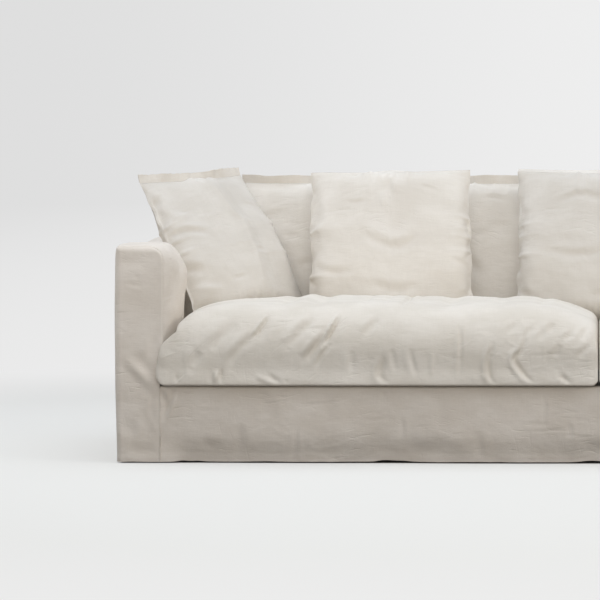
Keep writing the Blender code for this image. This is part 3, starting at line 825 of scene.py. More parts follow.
    def inside_back(self) -> None:
        """Reclined inner back that rolls over the top of the frame to the rear seam."""
        lean, radius, turn_radius = self.back_lean, self.back_roll, self.outer_radius
        roll_z = self.top - radius
        slope = (roll_z + radius * math.sin(lean) - self.seat_level) / math.cos(lean)
        roll_y = self.back_foot + slope * math.sin(lean) + radius * math.cos(lean)
        roll = radius * (math.pi / 2.0 - lean)
        level = self.back - turn_radius - roll_y
        turn = turn_radius * math.pi / 2.0
        ends = np.cumsum([slope, roll, level, turn])
        across = np.linspace(-self.back_half_width, self.back_half_width, 200)
        stops = zip([0.0, *ends], ends, (26, 8, 10, 5))
        run = spaced(*stops)
        x, s = np.meshgrid(across, run)
        a = lean + np.clip((s - ends[0]) / radius, 0.0, math.pi / 2.0 - lean)
        b = np.clip((s - ends[2]) / turn_radius, 0.0, math.pi / 2.0)
        on_level = np.clip(s - ends[1], 0.0, level)
        share = (x + self.back_half_width) / (2.0 * self.back_half_width)
        bow = 0.006 * np.sin(math.pi * share) * np.sin(math.pi * np.minimum(s / slope, 1.0))
        up_slope = np.minimum(s, slope)
        y = np.where(
            s <= slope,
            self.back_foot + up_slope * math.sin(lean) - bow,
            roll_y - radius * np.cos(a) + on_level + turn_radius * np.sin(b),
        )
        z = np.where(
            s <= slope,
            self.seat_level + up_slope * math.cos(lean),
            roll_z + radius * np.sin(a) - turn_radius * (1.0 - np.cos(b)),
        )
        lift = relief(INSIDE_BACK_CREASES, x, s) + self.slack(x, s, 23, 0.0012)
        lift += self.seam_groove(ends[3] - s)
        self.panel(
            "inside_back",
            np.stack([x, y, z], -1),
            np.stack([x, s], -1),
            lift * ease(s / 0.03),
        )

    def outside_back(self) -> None:
        """Rear drop from the back's top seam to the floor, full width."""
        across = np.linspace(self.half_width - 0.001, -self.half_width + 0.001, 230)
        rise = np.linspace(0.0, 1.0, 54)
        x, share_up = np.meshgrid(across, rise)
        z = blend(self.rear_hem(x, 2.1), self.outer_seam - self.upper_seam_gap, share_up)
        share = (self.half_width - x) / (2.0 * self.half_width)
        y = self.back - np.abs(self.hang(x, z, 0.2, share))
        edge = self.half_width - np.abs(x)
        short = np.clip(1.0 - edge / self.corner_turn, 0.0, 1.0)
        y = y - self.corner_turn * (1.0 - np.sqrt(1.0 - short**2))
        lift = relief(REAR_CREASES, x, z) + self.slack(x, z, 31, 0.0020)
        lift *= ease(edge / 0.02)
        lift += self.seam_groove(self.outer_seam - z) + self.hem_band(z)
        self.panel(
            "outside_back",
            np.stack([x, y, z], -1),
            np.stack([x, z], -1),
            lift,
        )

    def facing_inner(self, z: Array) -> Array:
        """Returns how far from the middle the facing's inner edge is at a height."""
        above = ease((z - self.seat_level) / self.face_splay_run)
        return self.face_inner + (self.face_foot - self.face_inner) * (1.0 - above)

    def facing_top(self, x: Array, inset: float) -> Array:
        """Returns the height of the facing's outline, drawn in by inset, at x."""
        outer = self.outer_radius - inset
        wide, tall = self.inner_radius - inset / self.inner_crisp, self.inner_radius - inset
        over = np.clip(outer - (self.half_width - inset - x), 0.0, outer)
        under = np.clip(self.face_inner + self.inner_radius - x, 0.0, wide)
        drop = outer - np.sqrt(np.maximum(outer**2 - over**2, 0.0))
        drop = drop + tall * (1.0 - np.sqrt(np.maximum(1.0 - (under / wide) ** 2, 0.0)))
        return self.top - inset - drop

    def facing_edge(self, x: Array, z: Array) -> Array:
        """Returns each place's distance from the facing's rounded outline."""
        outer, inner = self.outer_radius, self.inner_radius
        distance = np.minimum(self.half_width - x, self.top - z)
        beyond_x, beyond_z = x - (self.half_width - outer), z - (self.top - outer)
        corner = outer - np.hypot(beyond_x, beyond_z)
        distance = np.where((beyond_x > 0.0) & (beyond_z > 0.0), corner, distance)
        round_it = ease((z - self.seat_level) / 0.03)
        inside = self.inner_crisp * (x - self.facing_inner(z)) + (1.0 - round_it) * self.face_round
        distance = np.minimum(distance, inside)
        beyond_x, beyond_z = self.face_inner + inner - x, z - (self.top - inner)
        reach = np.maximum(np.hypot(beyond_x, beyond_z), 1e-9)
        crisp = blend(self.inner_crisp, 1.0, np.clip(beyond_z / reach, 0.0, 1.0) ** 2)
        corner = (inner - reach) * crisp
        return np.where((beyond_x > 0.0) & (beyond_z > 0.0), corner, distance)

    def rounding(self, distance: Array) -> Array:
        """Returns how far back a rounded edge has turned at a distance inside it."""
        short = np.clip(self.face_round - distance, 0.0, self.face_round)
        return self.face_round - np.sqrt(self.face_round**2 - short**2)

    def swelling(self, z: Array) -> Array:
        """Returns how far the arm's outer front edge swells sideways at a height."""
        return self.facing_swell * np.sin(math.pi * np.clip(z / self.top, 0.0, 1.0))

    def arm_front(self, side: Side) -> None:
        """Arm facing: flat panel, rounded at both upper corners, hem to the floor."""
        inset = self.face_round * (1.0 - math.sin(self.face_seam_turn))
        fan = (1.0 - np.cos(np.linspace(0.0, math.pi, 41))) / 2.0
        fan = blend(fan, np.linspace(0.0, 1.0, 41), 0.25)
        rise = spaced((0.0, 0.9, 104), (0.9, 1.0, 24))
        share, up = np.meshgrid(fan, rise)
        outer = self.half_width - inset
        inner_inset = inset / self.inner_crisp
        x = blend(outer, self.face_inner + inner_inset, share)
        z = blend(self.hem(-x), self.facing_top(x, inset), up)
        above = ease((z - self.seat_level) / self.face_splay_run)
        x = x + (self.face_foot - self.face_inner - inner_inset) * share * (1.0 - above)
        swell = self.swelling(z) * (1.0 - share)
        distance = self.facing_edge(x, z)
        y = self.front + self.rounding(distance) + 0.5 * self.hang(x, z, 2.0, share)
        creases = relief(FACING_CREASES, x, z) + self.slack(x, z, 41 + int(side.value), 0.0016)
        lift = creases * ease(distance / 0.02)
        lift += self.hem_band(z)
        self.panel(
            f"arm_front_{side.label}",
            np.stack([-(x + swell), y, z], -1),
            np.stack([-x, z], -1),
            lift,
            mirrored=side is Side.RIGHT,
        )

    def arm_section(self, y: Array, count: int) -> tuple[Array, Array, Array]:
        """Works out the arm's cross-sections.

        Args:
            y: places from front to back, one for each column.
            count: points in each section.

        Returns:
            Distance from the middle, height, and length of cloth up from the deck, each
            count rows by one column for each y.
        """
        knots = np.array([cut.y for cut in ARM_CUTS])

        def along(values: list[float]) -> Array:
            """Returns a column value at each y, rounded off between the cuts."""
            fine = np.linspace(knots[0], knots[-1], 400)
            row = np.interp(fine, knots, values)
            kernel = bump(np.linspace(-2.0, 2.0, 33), 1.0)
            padded = np.pad(row, 16, mode="reflect", reflect_type="odd")
            return np.interp(y, fine, np.convolve(padded, kernel / kernel.sum(), "valid"))

        inner = along([cut.inner for cut in ARM_CUTS])
        width = along([cut.roll_width for cut in ARM_CUTS])
        height = along([cut.roll_height for cut in ARM_CUTS])
        top = along([cut.top for cut in ARM_CUTS])
        bulge = self.roll_bulge * bump(y - self.bulge_place[0], self.bulge_reach[0])
        at_front = 1.0 - ease((y - y.min()) / 0.05)
        inner += (self.face_inner - inner[np.argmin(y)]) * at_front
        width += (self.inner_radius - width[np.argmin(y)]) * at_front
        height += (self.inner_radius - height[np.argmin(y)]) * at_front
        top += (self.top - top[np.argmin(y)]) * at_front
        behind = ease((y - self.back_foot + 0.012) / 0.024)
        radius = self.outer_radius
        tuck = self.tuck * (1.0 - ease((y - self.back + 2.2 * radius) / (1.2 * radius)))
        start = blend(self.seat_level + self.seam_gap, top - height - tuck, behind)
        sections = []
        for i in range(len(y)):
            rise = np.linspace(start[i], top[i] - height[i], 60, endpoint=False)
            turn = np.linspace(0.0, math.pi / 2.0, 60, endpoint=False)
            flat = np.linspace(inner[i] + width[i], self.half_width - radius, 40, endpoint=False)
            corner = np.linspace(0.0, math.pi / 2.0, 24)
            line_x = np.concatenate([
                np.full(60, inner[i]),
                inner[i] + width[i] * (1.0 - np.cos(turn)),
                flat,
                self.half_width - radius * (1.0 - np.sin(corner)),
            ])
            line_z = np.concatenate([
                rise,
                top[i] - height[i] * (1.0 - np.sin(turn)),
                np.full(40, top[i]),
                blend(top[i], self.outer_seam, 1.0 - np.cos(corner)),
            ])
            leaning = bulge[i] * bump(line_z - self.bulge_place[1], self.bulge_reach[1])
            line_x -= leaning * ease((self.half_width - self.outer_band - line_x) / self.outer_band)
            length = np.concatenate([[0.0], np.cumsum(np.hypot(np.diff(line_x), np.diff(line_z)))])
            even = np.linspace(0.0, length[-1], count)
            sections.append((np.interp(even, length, line_x), np.interp(even, length, line_z), even))
        x, z, run = (np.array(part).T for part in zip(*sections))
        return x, z, run

    def arm_inside(self, side: Side) -> None:
        """Inner arm, padded roll and arm top in one length, down to the outer seam."""
        face_back, level_back = self.front + self.face_round, self.back - self.outer_radius
        along = spaced(
            (self.face_seam, face_back, 6),
            (face_back, level_back, 124),
            (level_back, level_back + self.outer_radius * self.rear_turn, 7),
        )
        turn = np.maximum(along - level_back, 0.0) / self.outer_radius
        y_row = np.minimum(along, level_back) + self.outer_radius * np.sin(turn)
        x, z, run = self.arm_section(y_row, 96)
        z = self.outer_seam + (z - self.outer_seam) * np.cos(turn)
        y = np.broadcast_to(y_row, x.shape)
        points = np.stack([-x, y, z], -1)
        lift = relief(WRAP_CREASES, y - self.front, run)
        lift += self.slack(y, run, 51 + int(side.value), 0.0018)
        lift *= ease((y - self.front) / 0.03) * ease(run / 0.03) * ease((self.back - y) / 0.02)
        low = 1.0 - ease((z - 0.40) / 0.06)
        lift = np.where(x < self.half_width - self.outer_band, lift * (1.0 - 0.6 * low), lift)
        lift += self.seam_groove((run[-1:] - run)) * 0.7
        turned = grid_normals(points)[:, :, 2]
        crisp = blend(self.inner_crisp, 1.0, np.clip(turned, 0.0, 1.0) ** 2)
        crisp = np.where(x > self.half_width - self.outer_band, 1.0, crisp)
        lift -= self.rounding(y - self.front) / crisp
        self.panel(
            f"arm_inside_{side.label}",
            points,
            np.stack([y, run], -1),
            lift,
            mirrored=side is Side.RIGHT,
        )

    def arm_outside(self, side: Side) -> None:
        """Outer arm drop from the top seam to the floor."""
        face_back = self.front + self.face_round
        y_row = spaced(
            (self.back - self.cloth - 0.002, face_back, 92),
            (face_back, self.face_seam, 6),
        )
        y, up = np.meshgrid(y_row, np.linspace(0.0, 1.0, 58))
        z = blend(self.rear_hem(y, 1.7), self.outer_seam - self.upper_seam_gap, up)
        share = (self.back - y) / (self.back - self.front)
        bow = self.outer_bow * np.sin(math.pi * up) * np.sin(math.pi * np.clip(share, 0.0, 1.0))
        swell = self.swelling(z) * ease((share - 0.85) / 0.15)
        x = self.half_width + bow + swell - np.abs(self.hang(y, z, 0.6, share))
        lift = relief(DROP_CREASES, y - self.front, z) + self.slack(y, z, 61 + int(side.value), 0.0019)
        lift *= ease((y - self.front) / 0.03) * ease((self.back - y) / 0.02)
        lift += self.seam_groove(self.outer_seam - z) * 0.7 + self.hem_band(z)
        lift -= self.rounding(y - self.front)
        self.panel(
            f"arm_outside_{side.label}",
            np.stack([-x, y, z], -1),
            np.stack([-y, z], -1),
            lift,
            mirrored=side is Side.RIGHT,
        )


# ---- seat cushions ------------------------------------------------------------------
LEFT_SEAT_CREASES = (
    # (distance from the middle, length of cloth up from the front seam), half-width, depth
    # -- slanting folds over the front edge
    Crease(((0.989, 0.185), (1.040, 0.124), (1.062, 0.105)), 0.015, 0.0040),
    Crease(((0.900, 0.206), (0.918, 0.170), (0.940, 0.134)), 0.0048, 0.0050, 0.7),
    Crease(((0.896, 0.200), (0.908, 0.168), (0.928, 0.130)), 0.014, 0.0022, 0.0),
    Crease(((0.930, 0.152), (0.972, 0.112), (0.994, 0.082), (1.000, 0.056)), 0.011, 0.0044),
    Crease(((0.772, 0.200), (0.815, 0.146), (0.843, 0.108)), 0.012, 0.0044, 0.6),
    Crease(((0.704, 0.206), (0.725, 0.158), (0.748, 0.112)), 0.0048, 0.0054, 0.8),
    Crease(((0.696, 0.200), (0.715, 0.158), (0.738, 0.110)), 0.015, 0.0024, 0.0),
    Crease(((0.742, 0.146), (0.776, 0.102), (0.798, 0.074)), 0.010, 0.0052, 0.7),
    Crease(((0.724, 0.122), (0.754, 0.086), (0.766, 0.056)), 0.007, 0.0028),
    Crease(((0.600, 0.196), (0.636, 0.142)), 0.010, 0.0036),
    Crease(((1.088, 0.100), (1.108, 0.056)), 0.013, 0.0028),
    # -- upright folds of the front
    Crease(((0.510, 0.108), (0.508, 0.080), (0.494, 0.028)), 0.008, 0.0026),
    Crease(((0.452, 0.096), (0.454, 0.032)), 0.006, -0.0020, 0.2),
    Crease(((0.378, 0.172), (0.374, 0.116), (0.377, 0.038)), 0.006, 0.0030),
    Crease(((0.284, 0.118), (0.299, 0.068), (0.293, 0.022), (0.270, 0.003)), 0.007, 0.0042, 0.6),
    Crease(
        ((0.196, 0.140), (0.209, 0.101), (0.227, 0.074), (0.200, 0.032), (0.166, 0.003)),
        0.007, 0.0050, 0.6,
    ),
    Crease(((0.582, 0.084), (0.594, 0.032), (0.567, 0.004)), 0.009, 0.0040),
    Crease(((0.562, 0.106), (0.553, 0.044)), 0.008, 0.0020),
    Crease(((0.671, 0.102), (0.671, 0.042)), 0.009, 0.0022),
    # -- gathers on the bottom seam
    Crease(((1.044, 0.046), (1.044, 0.004)), 0.007, -0.0030, 0.3),
    Crease(((1.028, 0.050), (1.030, 0.004)), 0.006, 0.0034),
    Crease(((0.900, 0.034), (0.860, 0.002)), 0.008, 0.0036),
    Crease(((0.930, 0.032), (0.888, 0.002)), 0.008, -0.0022, 0.3),
    Crease(((0.852, 0.022), (0.846, 0.001)), 0.006, 0.0022),
    Crease(((1.150, 0.034), (1.152, 0.006)), 0.006, 0.0024),
    Crease(((0.104, 0.034), (0.073, 0.002)), 0.008, 0.0044),
    # -- short dents near the inner end
    Crease(((0.120, 0.182), (0.137, 0.154)), 0.009, 0.0026),
    Crease(((0.070, 0.160), (0.092, 0.126)), 0.009, 0.0032),
    Crease(((0.148, 0.160), (0.160, 0.126)), 0.008, 0.0022),
    Crease(((0.030, 0.180), (0.046, 0.130)), 0.009, 0.0026),
    Crease(((0.178, 0.172), (0.198, 0.143)), 0.008, 0.0020),
    Crease(((0.222, 0.180), (0.248, 0.146)), 0.009, 0.0018),
    Crease(((0.024, 0.118), (0.056, 0.082)), 0.009, 0.0024),
    Crease(((0.104, 0.118), (0.120, 0.082)), 0.009, 0.0020),
    # -- dips and swells of the crest, which run back under the pillows
    Crease(((0.868, 0.215), (0.856, 0.400), (0.858, 0.800)), 0.019, 0.0052, 0.2),
    Crease(((0.822, 0.225), (0.811, 0.400), (0.811, 0.800)), 0.013, -0.0022, 0.0),
    Crease(((0.774, 0.215), (0.765, 0.400), (0.767, 0.800)), 0.022, 0.0060, 0.2),
    Crease(((0.646, 0.240), (0.640, 0.400), (0.640, 0.800)), 0.009, 0.0018, 0.2),
    Crease(((0.592, 0.240), (0.585, 0.400), (0.586, 0.800)), 0.011, 0.0022, 0.2),
    Crease(((0.538, 0.225), (0.529, 0.380), (0.529, 0.800)), 0.009, 0.0056, 0.3),
    Crease(((0.510, 0.230), (0.503, 0.400), (0.504, 0.800)), 0.014, 0.0024, 0.0),
    Crease(((0.416, 0.215), (0.408, 0.400), (0.408, 0.800)), 0.028, 0.0062, 0.2),
    Crease(((0.280, 0.225), (0.268, 0.400), (0.270, 0.800)), 0.022, 0.0040, 0.2),
    Crease(((0.160, 0.225), (0.152, 0.400), (0.154, 0.800)), 0.016, 0.0036, 0.2),
)

RIGHT_SEAT_CREASES = (
    Crease(((1.010, 0.190), (1.034, 0.140), (1.040, 0.104)), 0.013, 0.0042),
    Crease(((0.940, 0.204), (0.955, 0.160), (0.960, 0.118)), 0.0052, 0.0050, 0.7),
    Crease(((0.968, 0.136), (0.990, 0.100), (0.996, 0.064)), 0.012, 0.0042),
    Crease(((0.846, 0.200), (0.872, 0.150), (0.880, 0.112)), 0.014, 0.0046),
    Crease(((0.690, 0.204), (0.716, 0.160), (0.726, 0.120)), 0.0052, 0.0052, 0.7),
    Crease(((0.742, 0.138), (0.764, 0.100), (0.772, 0.070)), 0.012, 0.0044),
    Crease(((0.560, 0.196), (0.584, 0.150)), 0.010, 0.0034),
    Crease(((0.470, 0.112), (0.476, 0.070), (0.466, 0.026)), 0.008, 0.0030),
    Crease(((0.404, 0.170), (0.408, 0.110), (0.400, 0.044)), 0.007, 0.0048),
    Crease(((0.300, 0.120), (0.312, 0.070), (0.302, 0.020), (0.284, 0.003)), 0.009, 0.0052),
    Crease(((0.176, 0.142), (0.190, 0.100), (0.180, 0.040), (0.150, 0.003)), 0.009, 0.0060),
    Crease(((0.640, 0.086), (0.632, 0.030)), 0.009, 0.0030),
    Crease(((1.066, 0.044), (1.070, 0.004)), 0.007, 0.0034),
    Crease(((0.930, 0.036), (0.900, 0.002)), 0.008, 0.0034),
    Crease(((0.800, 0.040), (0.790, 0.002)), 0.007, -0.0026, 0.3),
    Crease(((0.110, 0.036), (0.086, 0.002)), 0.008, 0.0040),
    Crease(((0.104, 0.180), (0.124, 0.150)), 0.010, 0.0042),
    Crease(((0.056, 0.164), (0.080, 0.126)), 0.010, 0.0046),
    Crease(((0.136, 0.128), (0.152, 0.092)), 0.009, 0.0034),
    Crease(((0.474, 0.215), (0.466, 0.400), (0.468, 0.800)), 0.020, 0.0052, 0.2),
    Crease(((0.320, 0.230), (0.312, 0.400), (0.314, 0.800)), 0.012, 0.0030, 0.2),
    Crease(((0.706, 0.215), (0.696, 0.400), (0.698, 0.800)), 0.028, 0.0056, 0.2),
    Crease(((0.852, 0.230), (0.842, 0.400), (0.844, 0.800)), 0.014, 0.0040, 0.2),
)


@dataclass(frozen=True)
class Edge:
    """How far a cushion's form falls off at an edge, and over what reach."""

    fall: float
    reach: float

    def sagging(self, distance: Array) -> Array:
        """Returns how far the form has fallen at a distance from a softly sagging edge."""
        share = np.clip(distance / self.reach, 0.0, 1.0)
        return self.fall * (1.0 - np.sin(share * math.pi / 2.0)) ** 1.2

    def rounded(self, distance: Array) -> Array:
        """Returns how far the form has fallen at a distance from a round edge."""
        short = 1.0 - np.clip(distance / self.reach, 0.0, 1.0)
        return self.fall * (1.0 - np.sqrt(1.0 - short**2))


@dataclass
class SeatCushion:
    """Soft filled seat cushion whose front end swells past the arm facing."""

    side: Side
    material: bpy.types.Material
    creases: tuple[Crease, ...]
    seed: int
    level: float = 0.2142
    front: float = -0.511
    rear: float = 0.295
    crown: float = 0.442
    shoulder: float = 0.300
    outer: float = 1.150
    lobe: float = 1.210
    inner: float = 0.0020
    lobe_rear: float = -0.4885
    corner: float = 0.006
    setback: float = 0.0060
    round_depth: float = 0.125
    end_round_depth: float = 0.058
    last_rise: float = 0.006
    dimple: float = 0.003
    corner_outer: Point = (1.160, -0.296)
    corner_inner: Point = (0.850, 0.050)
    crease_boost: float = 1.55
    press_row: float = 0.010
    press_run: float = 0.085
    pressed_at_corner: float = 0.356
    pressed_at_front_row: float = 0.350
    pressed_at_rear_row: float = 0.329
    crown_outer: Edge = Edge(0.036, 0.160)
    crown_inner: Edge = Edge(0.052, 0.210)
    front_outer: Edge = Edge(0.020, 0.030)
    front_inner: Edge = Edge(0.012, 0.030)
    base_outer: Edge = Edge(0.036, 0.024)
    base_inner: Edge = Edge(0.012, 0.016)
    lobe_end: Edge = Edge(0.041, 0.016)
    top_rear: Edge = Edge(0.030, 0.034)
    top_outer: Edge = Edge(0.034, 0.036)
    top_inner: Edge = Edge(0.018, 0.024)
    lobe_slope: float = 0.75
    crest_dip: float = 0.005
    apex_middle: float = -0.150
    apex_end: float = -0.235
    flare_rise: float = 0.045
    least_depth: float = 0.004

    def pressed(self, x: float, y: Array, surface: Array) -> Array:
        """Returns the top's height once the pillows press it down."""
        run_x = self.corner_inner[0] - self.corner_outer[0]
        run_y = self.corner_inner[1] - self.corner_outer[1]
        length = math.hypot(run_x, run_y)
        behind = ((x - self.corner_outer[0]) * run_y - (y - self.corner_outer[1]) * run_x) / length
        behind_corner = behind / self.press_run
        behind_row = (y - self.press_row) / self.press_run
        level = blend(self.pressed_at_corner, self.pressed_at_front_row, ease(behind_row))
        level = blend(level, self.pressed_at_rear_row, ease((y - 0.14) / 0.08))
        share = np.maximum(ease(behind_corner), ease(behind_row))
        return blend(surface, np.minimum(surface, level), share)

    def crown_height(self, x: float) -> float:
        """Returns the height of the crest at a distance x from the middle."""
        crown = self.crown - self.crown_outer.sagging(self.outer - x)
        crown -= self.crown_inner.sagging(x - self.inner)
        return crown - self.crest_dip * (ease((x - 0.78) / 0.16) + ease((0.56 - x) / 0.14))

    def top(self, x: float, y: Array, face: float) -> Array:
        """Returns the height of the upper side behind a front panel that stands at face."""
        apex = blend(self.apex_middle, self.apex_end, ease((x - 0.95) / 0.20))
        depth = blend(self.round_depth, self.end_round_depth, ease((x - 1.0) / 0.15))
        short = 1.0 - np.clip((y - face) / depth, 0.0, 1.0)
        round_top = self.crown_height(x) - self.last_rise
        height = blend(self.shoulder, round_top, np.sqrt(1.0 - short**2))
        height = height + self.last_rise * ease((y - face) / (apex - face))
        return self.pressed(x, y, height)

    def loop(self, x: float) -> tuple[Array, Array, Array]:
        """Works out the closed loop round the cushion at a distance x from the middle.

        Returns:
            y, z, and the length of cloth from the front seam, of each point, from the rear
            bottom edge forwards, up the front and back over the top.
        """
        on_lobe = x > self.outer + 0.001
        ripple = self.dimple * math.sin(x * 15.0 + self.side.value) * math.sin(x * 6.0 + 0.4)
        fall = float(self.front_outer.rounded(self.lobe - x) + self.front_inner.sagging(x - self.inner))
        split = self.lobe_rear
        front = min(self.front + fall + abs(ripple), split - self.least_depth)
        face = min(front + self.setback, split - self.least_depth / 2.0)
        corner = min(self.corner, 0.4 * (split - front))
        base = self.level + float(self.base_outer.rounded(self.lobe - x))
        base += float(self.base_inner.sagging(x - self.inner))
        sink = self.lobe_slope * max(x - self.outer, 0.0) + float(self.lobe_end.rounded(self.lobe - x))
        shoulder = self.shoulder - 0.5 * sink
        full = float(self.top(min(x, self.outer), np.array(split), face)) - self.shoulder
        end = max(full + self.shoulder - sink, base + self.least_depth)
        squeeze = (end - shoulder) / full
        lines = [self.segment((split, base), (front + corner, base), 6)]
        turn = np.linspace(0.0, math.pi / 2.0, 6, endpoint=False)
        lines.append((front + corner * (1.0 - np.sin(turn)), base + corner * (1.0 - np.cos(turn))))
        height = blend(base + corner, shoulder, np.linspace(0.0, 1.0, 26, endpoint=False) ** 1.25)
        flare = (face - front) * ease((height - base - corner) / self.flare_rise)
        lines.append((front + flare, height))
        y = blend(face, split, np.linspace(0.0, 1.0, 300) ** 2)
        z = shoulder + (self.top(min(x, self.outer), y, face) - self.shoulder) * squeeze
        lines.append(self.even((y, z), 40))
        rear_z = lines[-1][1][-1]
        if on_lobe:
            lines.append(self.segment((split, rear_z), (split, base), 104))
        else:
            y = blend(split, self.rear, np.linspace(0.0, 1.0, 400)[1:])
            z = self.top(x, y, face) - self.top_rear.rounded(self.rear - y)
            z = z - self.top_outer.rounded(self.outer + 0.001 - x) * ease((y - split) / 0.05)
            lines.append(self.even((y, z), 84))
            lines.append(self.segment((self.rear, lines[-1][1][-1]), (self.rear, base), 8))
            lines.append(self.segment((self.rear, base), (split, base), 12))
        line_y, line_z = (np.concatenate(part) for part in zip(*lines))
        inner_fall = float(self.top_inner.rounded(x - self.inner))
        line_z = line_z - inner_fall * ease((line_z - shoulder + 0.02) / 0.05)
        run = np.concatenate([[0.0], np.cumsum(np.hypot(np.diff(line_y), np.diff(line_z)))])
        return line_y, line_z, run - run[6]

    @staticmethod
    def segment(start: Point, end: Point, count: int) -> tuple[Array, Array]:
        """Returns points from start towards end, without the end."""
        share = np.linspace(0.0, 1.0, count, endpoint=False)
        return blend(start[0], end[0], share), blend(start[1], end[1], share)

    @staticmethod
    def even(line: tuple[Array, Array], count: int) -> tuple[Array, Array]:
        """Returns a line's points spread evenly along it, closer in front."""
        y, z = line
        weight = np.where(y[1:] < -0.36, 1.0, np.where(y[1:] < -0.04, 0.6, 0.35))
        step = np.hypot(np.diff(y), np.diff(z)) * weight
        length = np.concatenate([[0.0], np.cumsum(step)])
        places = np.linspace(0.0, length[-1], count)
        return np.interp(places, length, y), np.interp(places, length, z)

    def build(self) -> None:
        """Lofts the cushion along the sofa's width, creases it and dresses it."""
        inner_end, outer_end, lobe_end = self.inner + 0.03, self.outer - 0.04, self.lobe - 0.012
        stations = np.append(
            spaced((self.inner, inner_end, 10), (inner_end, outer_end, 300), (outer_end, self.outer, 12)),
            spaced((self.outer + 0.003, lobe_end, 9), (lobe_end, self.lobe, 7)),
        )
        loops = [self.loop(x) for x in stations]
        y, z, run = (np.array(part).T for part in zip(*loops))
        x = np.broadcast_to(stations, y.shape)
        lift = self.lift(x, y, run)
        points = np.stack([x, y, z], -1)
        points = points + lift[:, :, None] * self.loop_normals(points)
        points[:, :, 0] = np.maximum(points[:, :, 0], self.inner)
        points[:, :, 0] *= self.side.value
        weave = np.stack([x * self.side.value, run], -1)
        rows, columns = y.shape
        faces = [grid_quads(rows + 1, columns) % (rows * columns)]
        flat_points, flat_weave = points.reshape(-1, 3), weave.reshape(-1, 2)
        for column, step in ((0, -1), (columns - 1, 1)):
            ring = column + columns * np.arange(rows)
            fan = np.stack([ring, np.roll(ring, -1), np.full(rows, len(flat_points))], -1)
            faces.append(fan[:, ::step])
            flat_points = np.vstack([flat_points, flat_points[ring].mean(0)])
            flat_weave = np.vstack([flat_weave, flat_weave[ring].mean(0)])
        if self.side is Side.LEFT:
            faces = [part[:, ::-1] for part in faces]
        node = f"seat_cushion_{self.side.label}"
        piece = new_piece(f"{node}_cloth", flat_points, faces, flat_weave)
        dress(piece, self.material, node)

    @staticmethod
    def loop_normals(points: Array) -> Array:
        """Returns the outward normals of a grid whose rows close on themselves."""
        wrapped = np.concatenate([points[-1:], points, points[:1]])
        normals = np.cross(np.gradient(wrapped, axis=1), np.gradient(wrapped, axis=0))[1:-1]
        return normals / np.maximum(np.linalg.norm(normals, axis=2, keepdims=True), 1e-12)

    def lift(self, x: Array, y: Array, run: Array) -> Array:
        """Returns how far creases and lumps move each point of the cushion outwards."""
        lift = self.crease_boost * relief(self.creases, x, run)
        lift += 0.0030 * lumps(x, run, self.seed)
        lift += 0.0008 * (crumple(x, run, self.seed + 20, 0.034, 1.6) - 0.2)
        seam = ease(run / 0.03) * ease((run[-1:] - run) / 0.05)
        ends = ease((self.lobe - x) / 0.03) * ease((x - self.inner) / 0.02)
        on_lobe = ease((x - self.outer + 0.02) / 0.02)
        off_facing = blend(1.0, ease((self.lobe_rear - y) / 0.012), on_lobe)
        clear = 1.0 - ease(y / 0.05) * 0.8
        return lift * seam * ends * clear * off_facing


# ---- pillows ------------------------------------------------------------------------
@dataclass(frozen=True)
class PillowPlace:
    """Where a pillow's lower edge stands, how it is turned, and how big it is."""

    name: str
    x: float
    y: float
    z: float
    yaw: float
    lean: float
    roll: float
    width: float
    height: float
    thickness: float
    bend: float
    flop: float
    seed: int
    fine: bool = False
    taper: float = 1.25
    draw: float = 0.016
    flare: float = 0.02
    crease_boost: float = 1.3
    # painted shade: the pillow's linen colours are multiplied by this so that it looks more shaded; 1
    # leaves them as they are
    shade: float = 1.0


PILLOWS = (
    PillowPlace("rear_1", -0.818, 0.272, 0.338, 1.0, 13.5, 0.8, 0.455, 0.435, 0.112, 0.0, -26.0, 101),
    PillowPlace("rear_2", -0.345, 0.271, 0.336, -1.5, 14.0, -0.6, 0.465, 0.435, 0.112, 0.0, -20.0, 102),
    PillowPlace("rear_3", 0.350, 0.272, 0.337, 1.0, 13.5, 0.5, 0.465, 0.435, 0.112, 0.0, -24.0, 103),
    PillowPlace("rear_4", 0.820, 0.272, 0.336, -1.0, 14.0, -0.8, 0.455, 0.435, 0.112, 0.0, -26.0, 104),
    PillowPlace(
        "front_1", -0.985, 0.026, 0.385, 50.0, 31.0, 3.0, 0.440, 0.452, 0.116, 0.004, -16.0, 105, True,
        taper=1.30, flare=0.08, crease_boost=1.5, shade=0.91,
    ),
    PillowPlace(
        "front_2", -0.595, 0.112, 0.357, 0.5, 16.0, 0.9, 0.466, 0.452, 0.128, 0.0, 70.0, 106, True,
        draw=0.0, flare=0.03,
    ),
    PillowPlace(
        "front_3", 0.0, 0.114, 0.356, -0.5, 16.0, 0.0, 0.472, 0.452, 0.128, 0.0, 66.0, 107, True,
        shade=0.88,
    ),
    PillowPlace(
        "front_4", 0.608, 0.112, 0.357, -1.0, 16.0, -0.5, 0.465, 0.452, 0.128, 0.0, 62.0, 108, True,
        shade=0.96,
    ),
    PillowPlace(
        "front_5", 0.985, 0.026, 0.385, -50.0, 31.0, -3.0, 0.440, 0.452, 0.116, 0.004, -16.0, 109, True,
        taper=1.30, flare=0.08, crease_boost=1.4, shade=0.92,
    ),
)

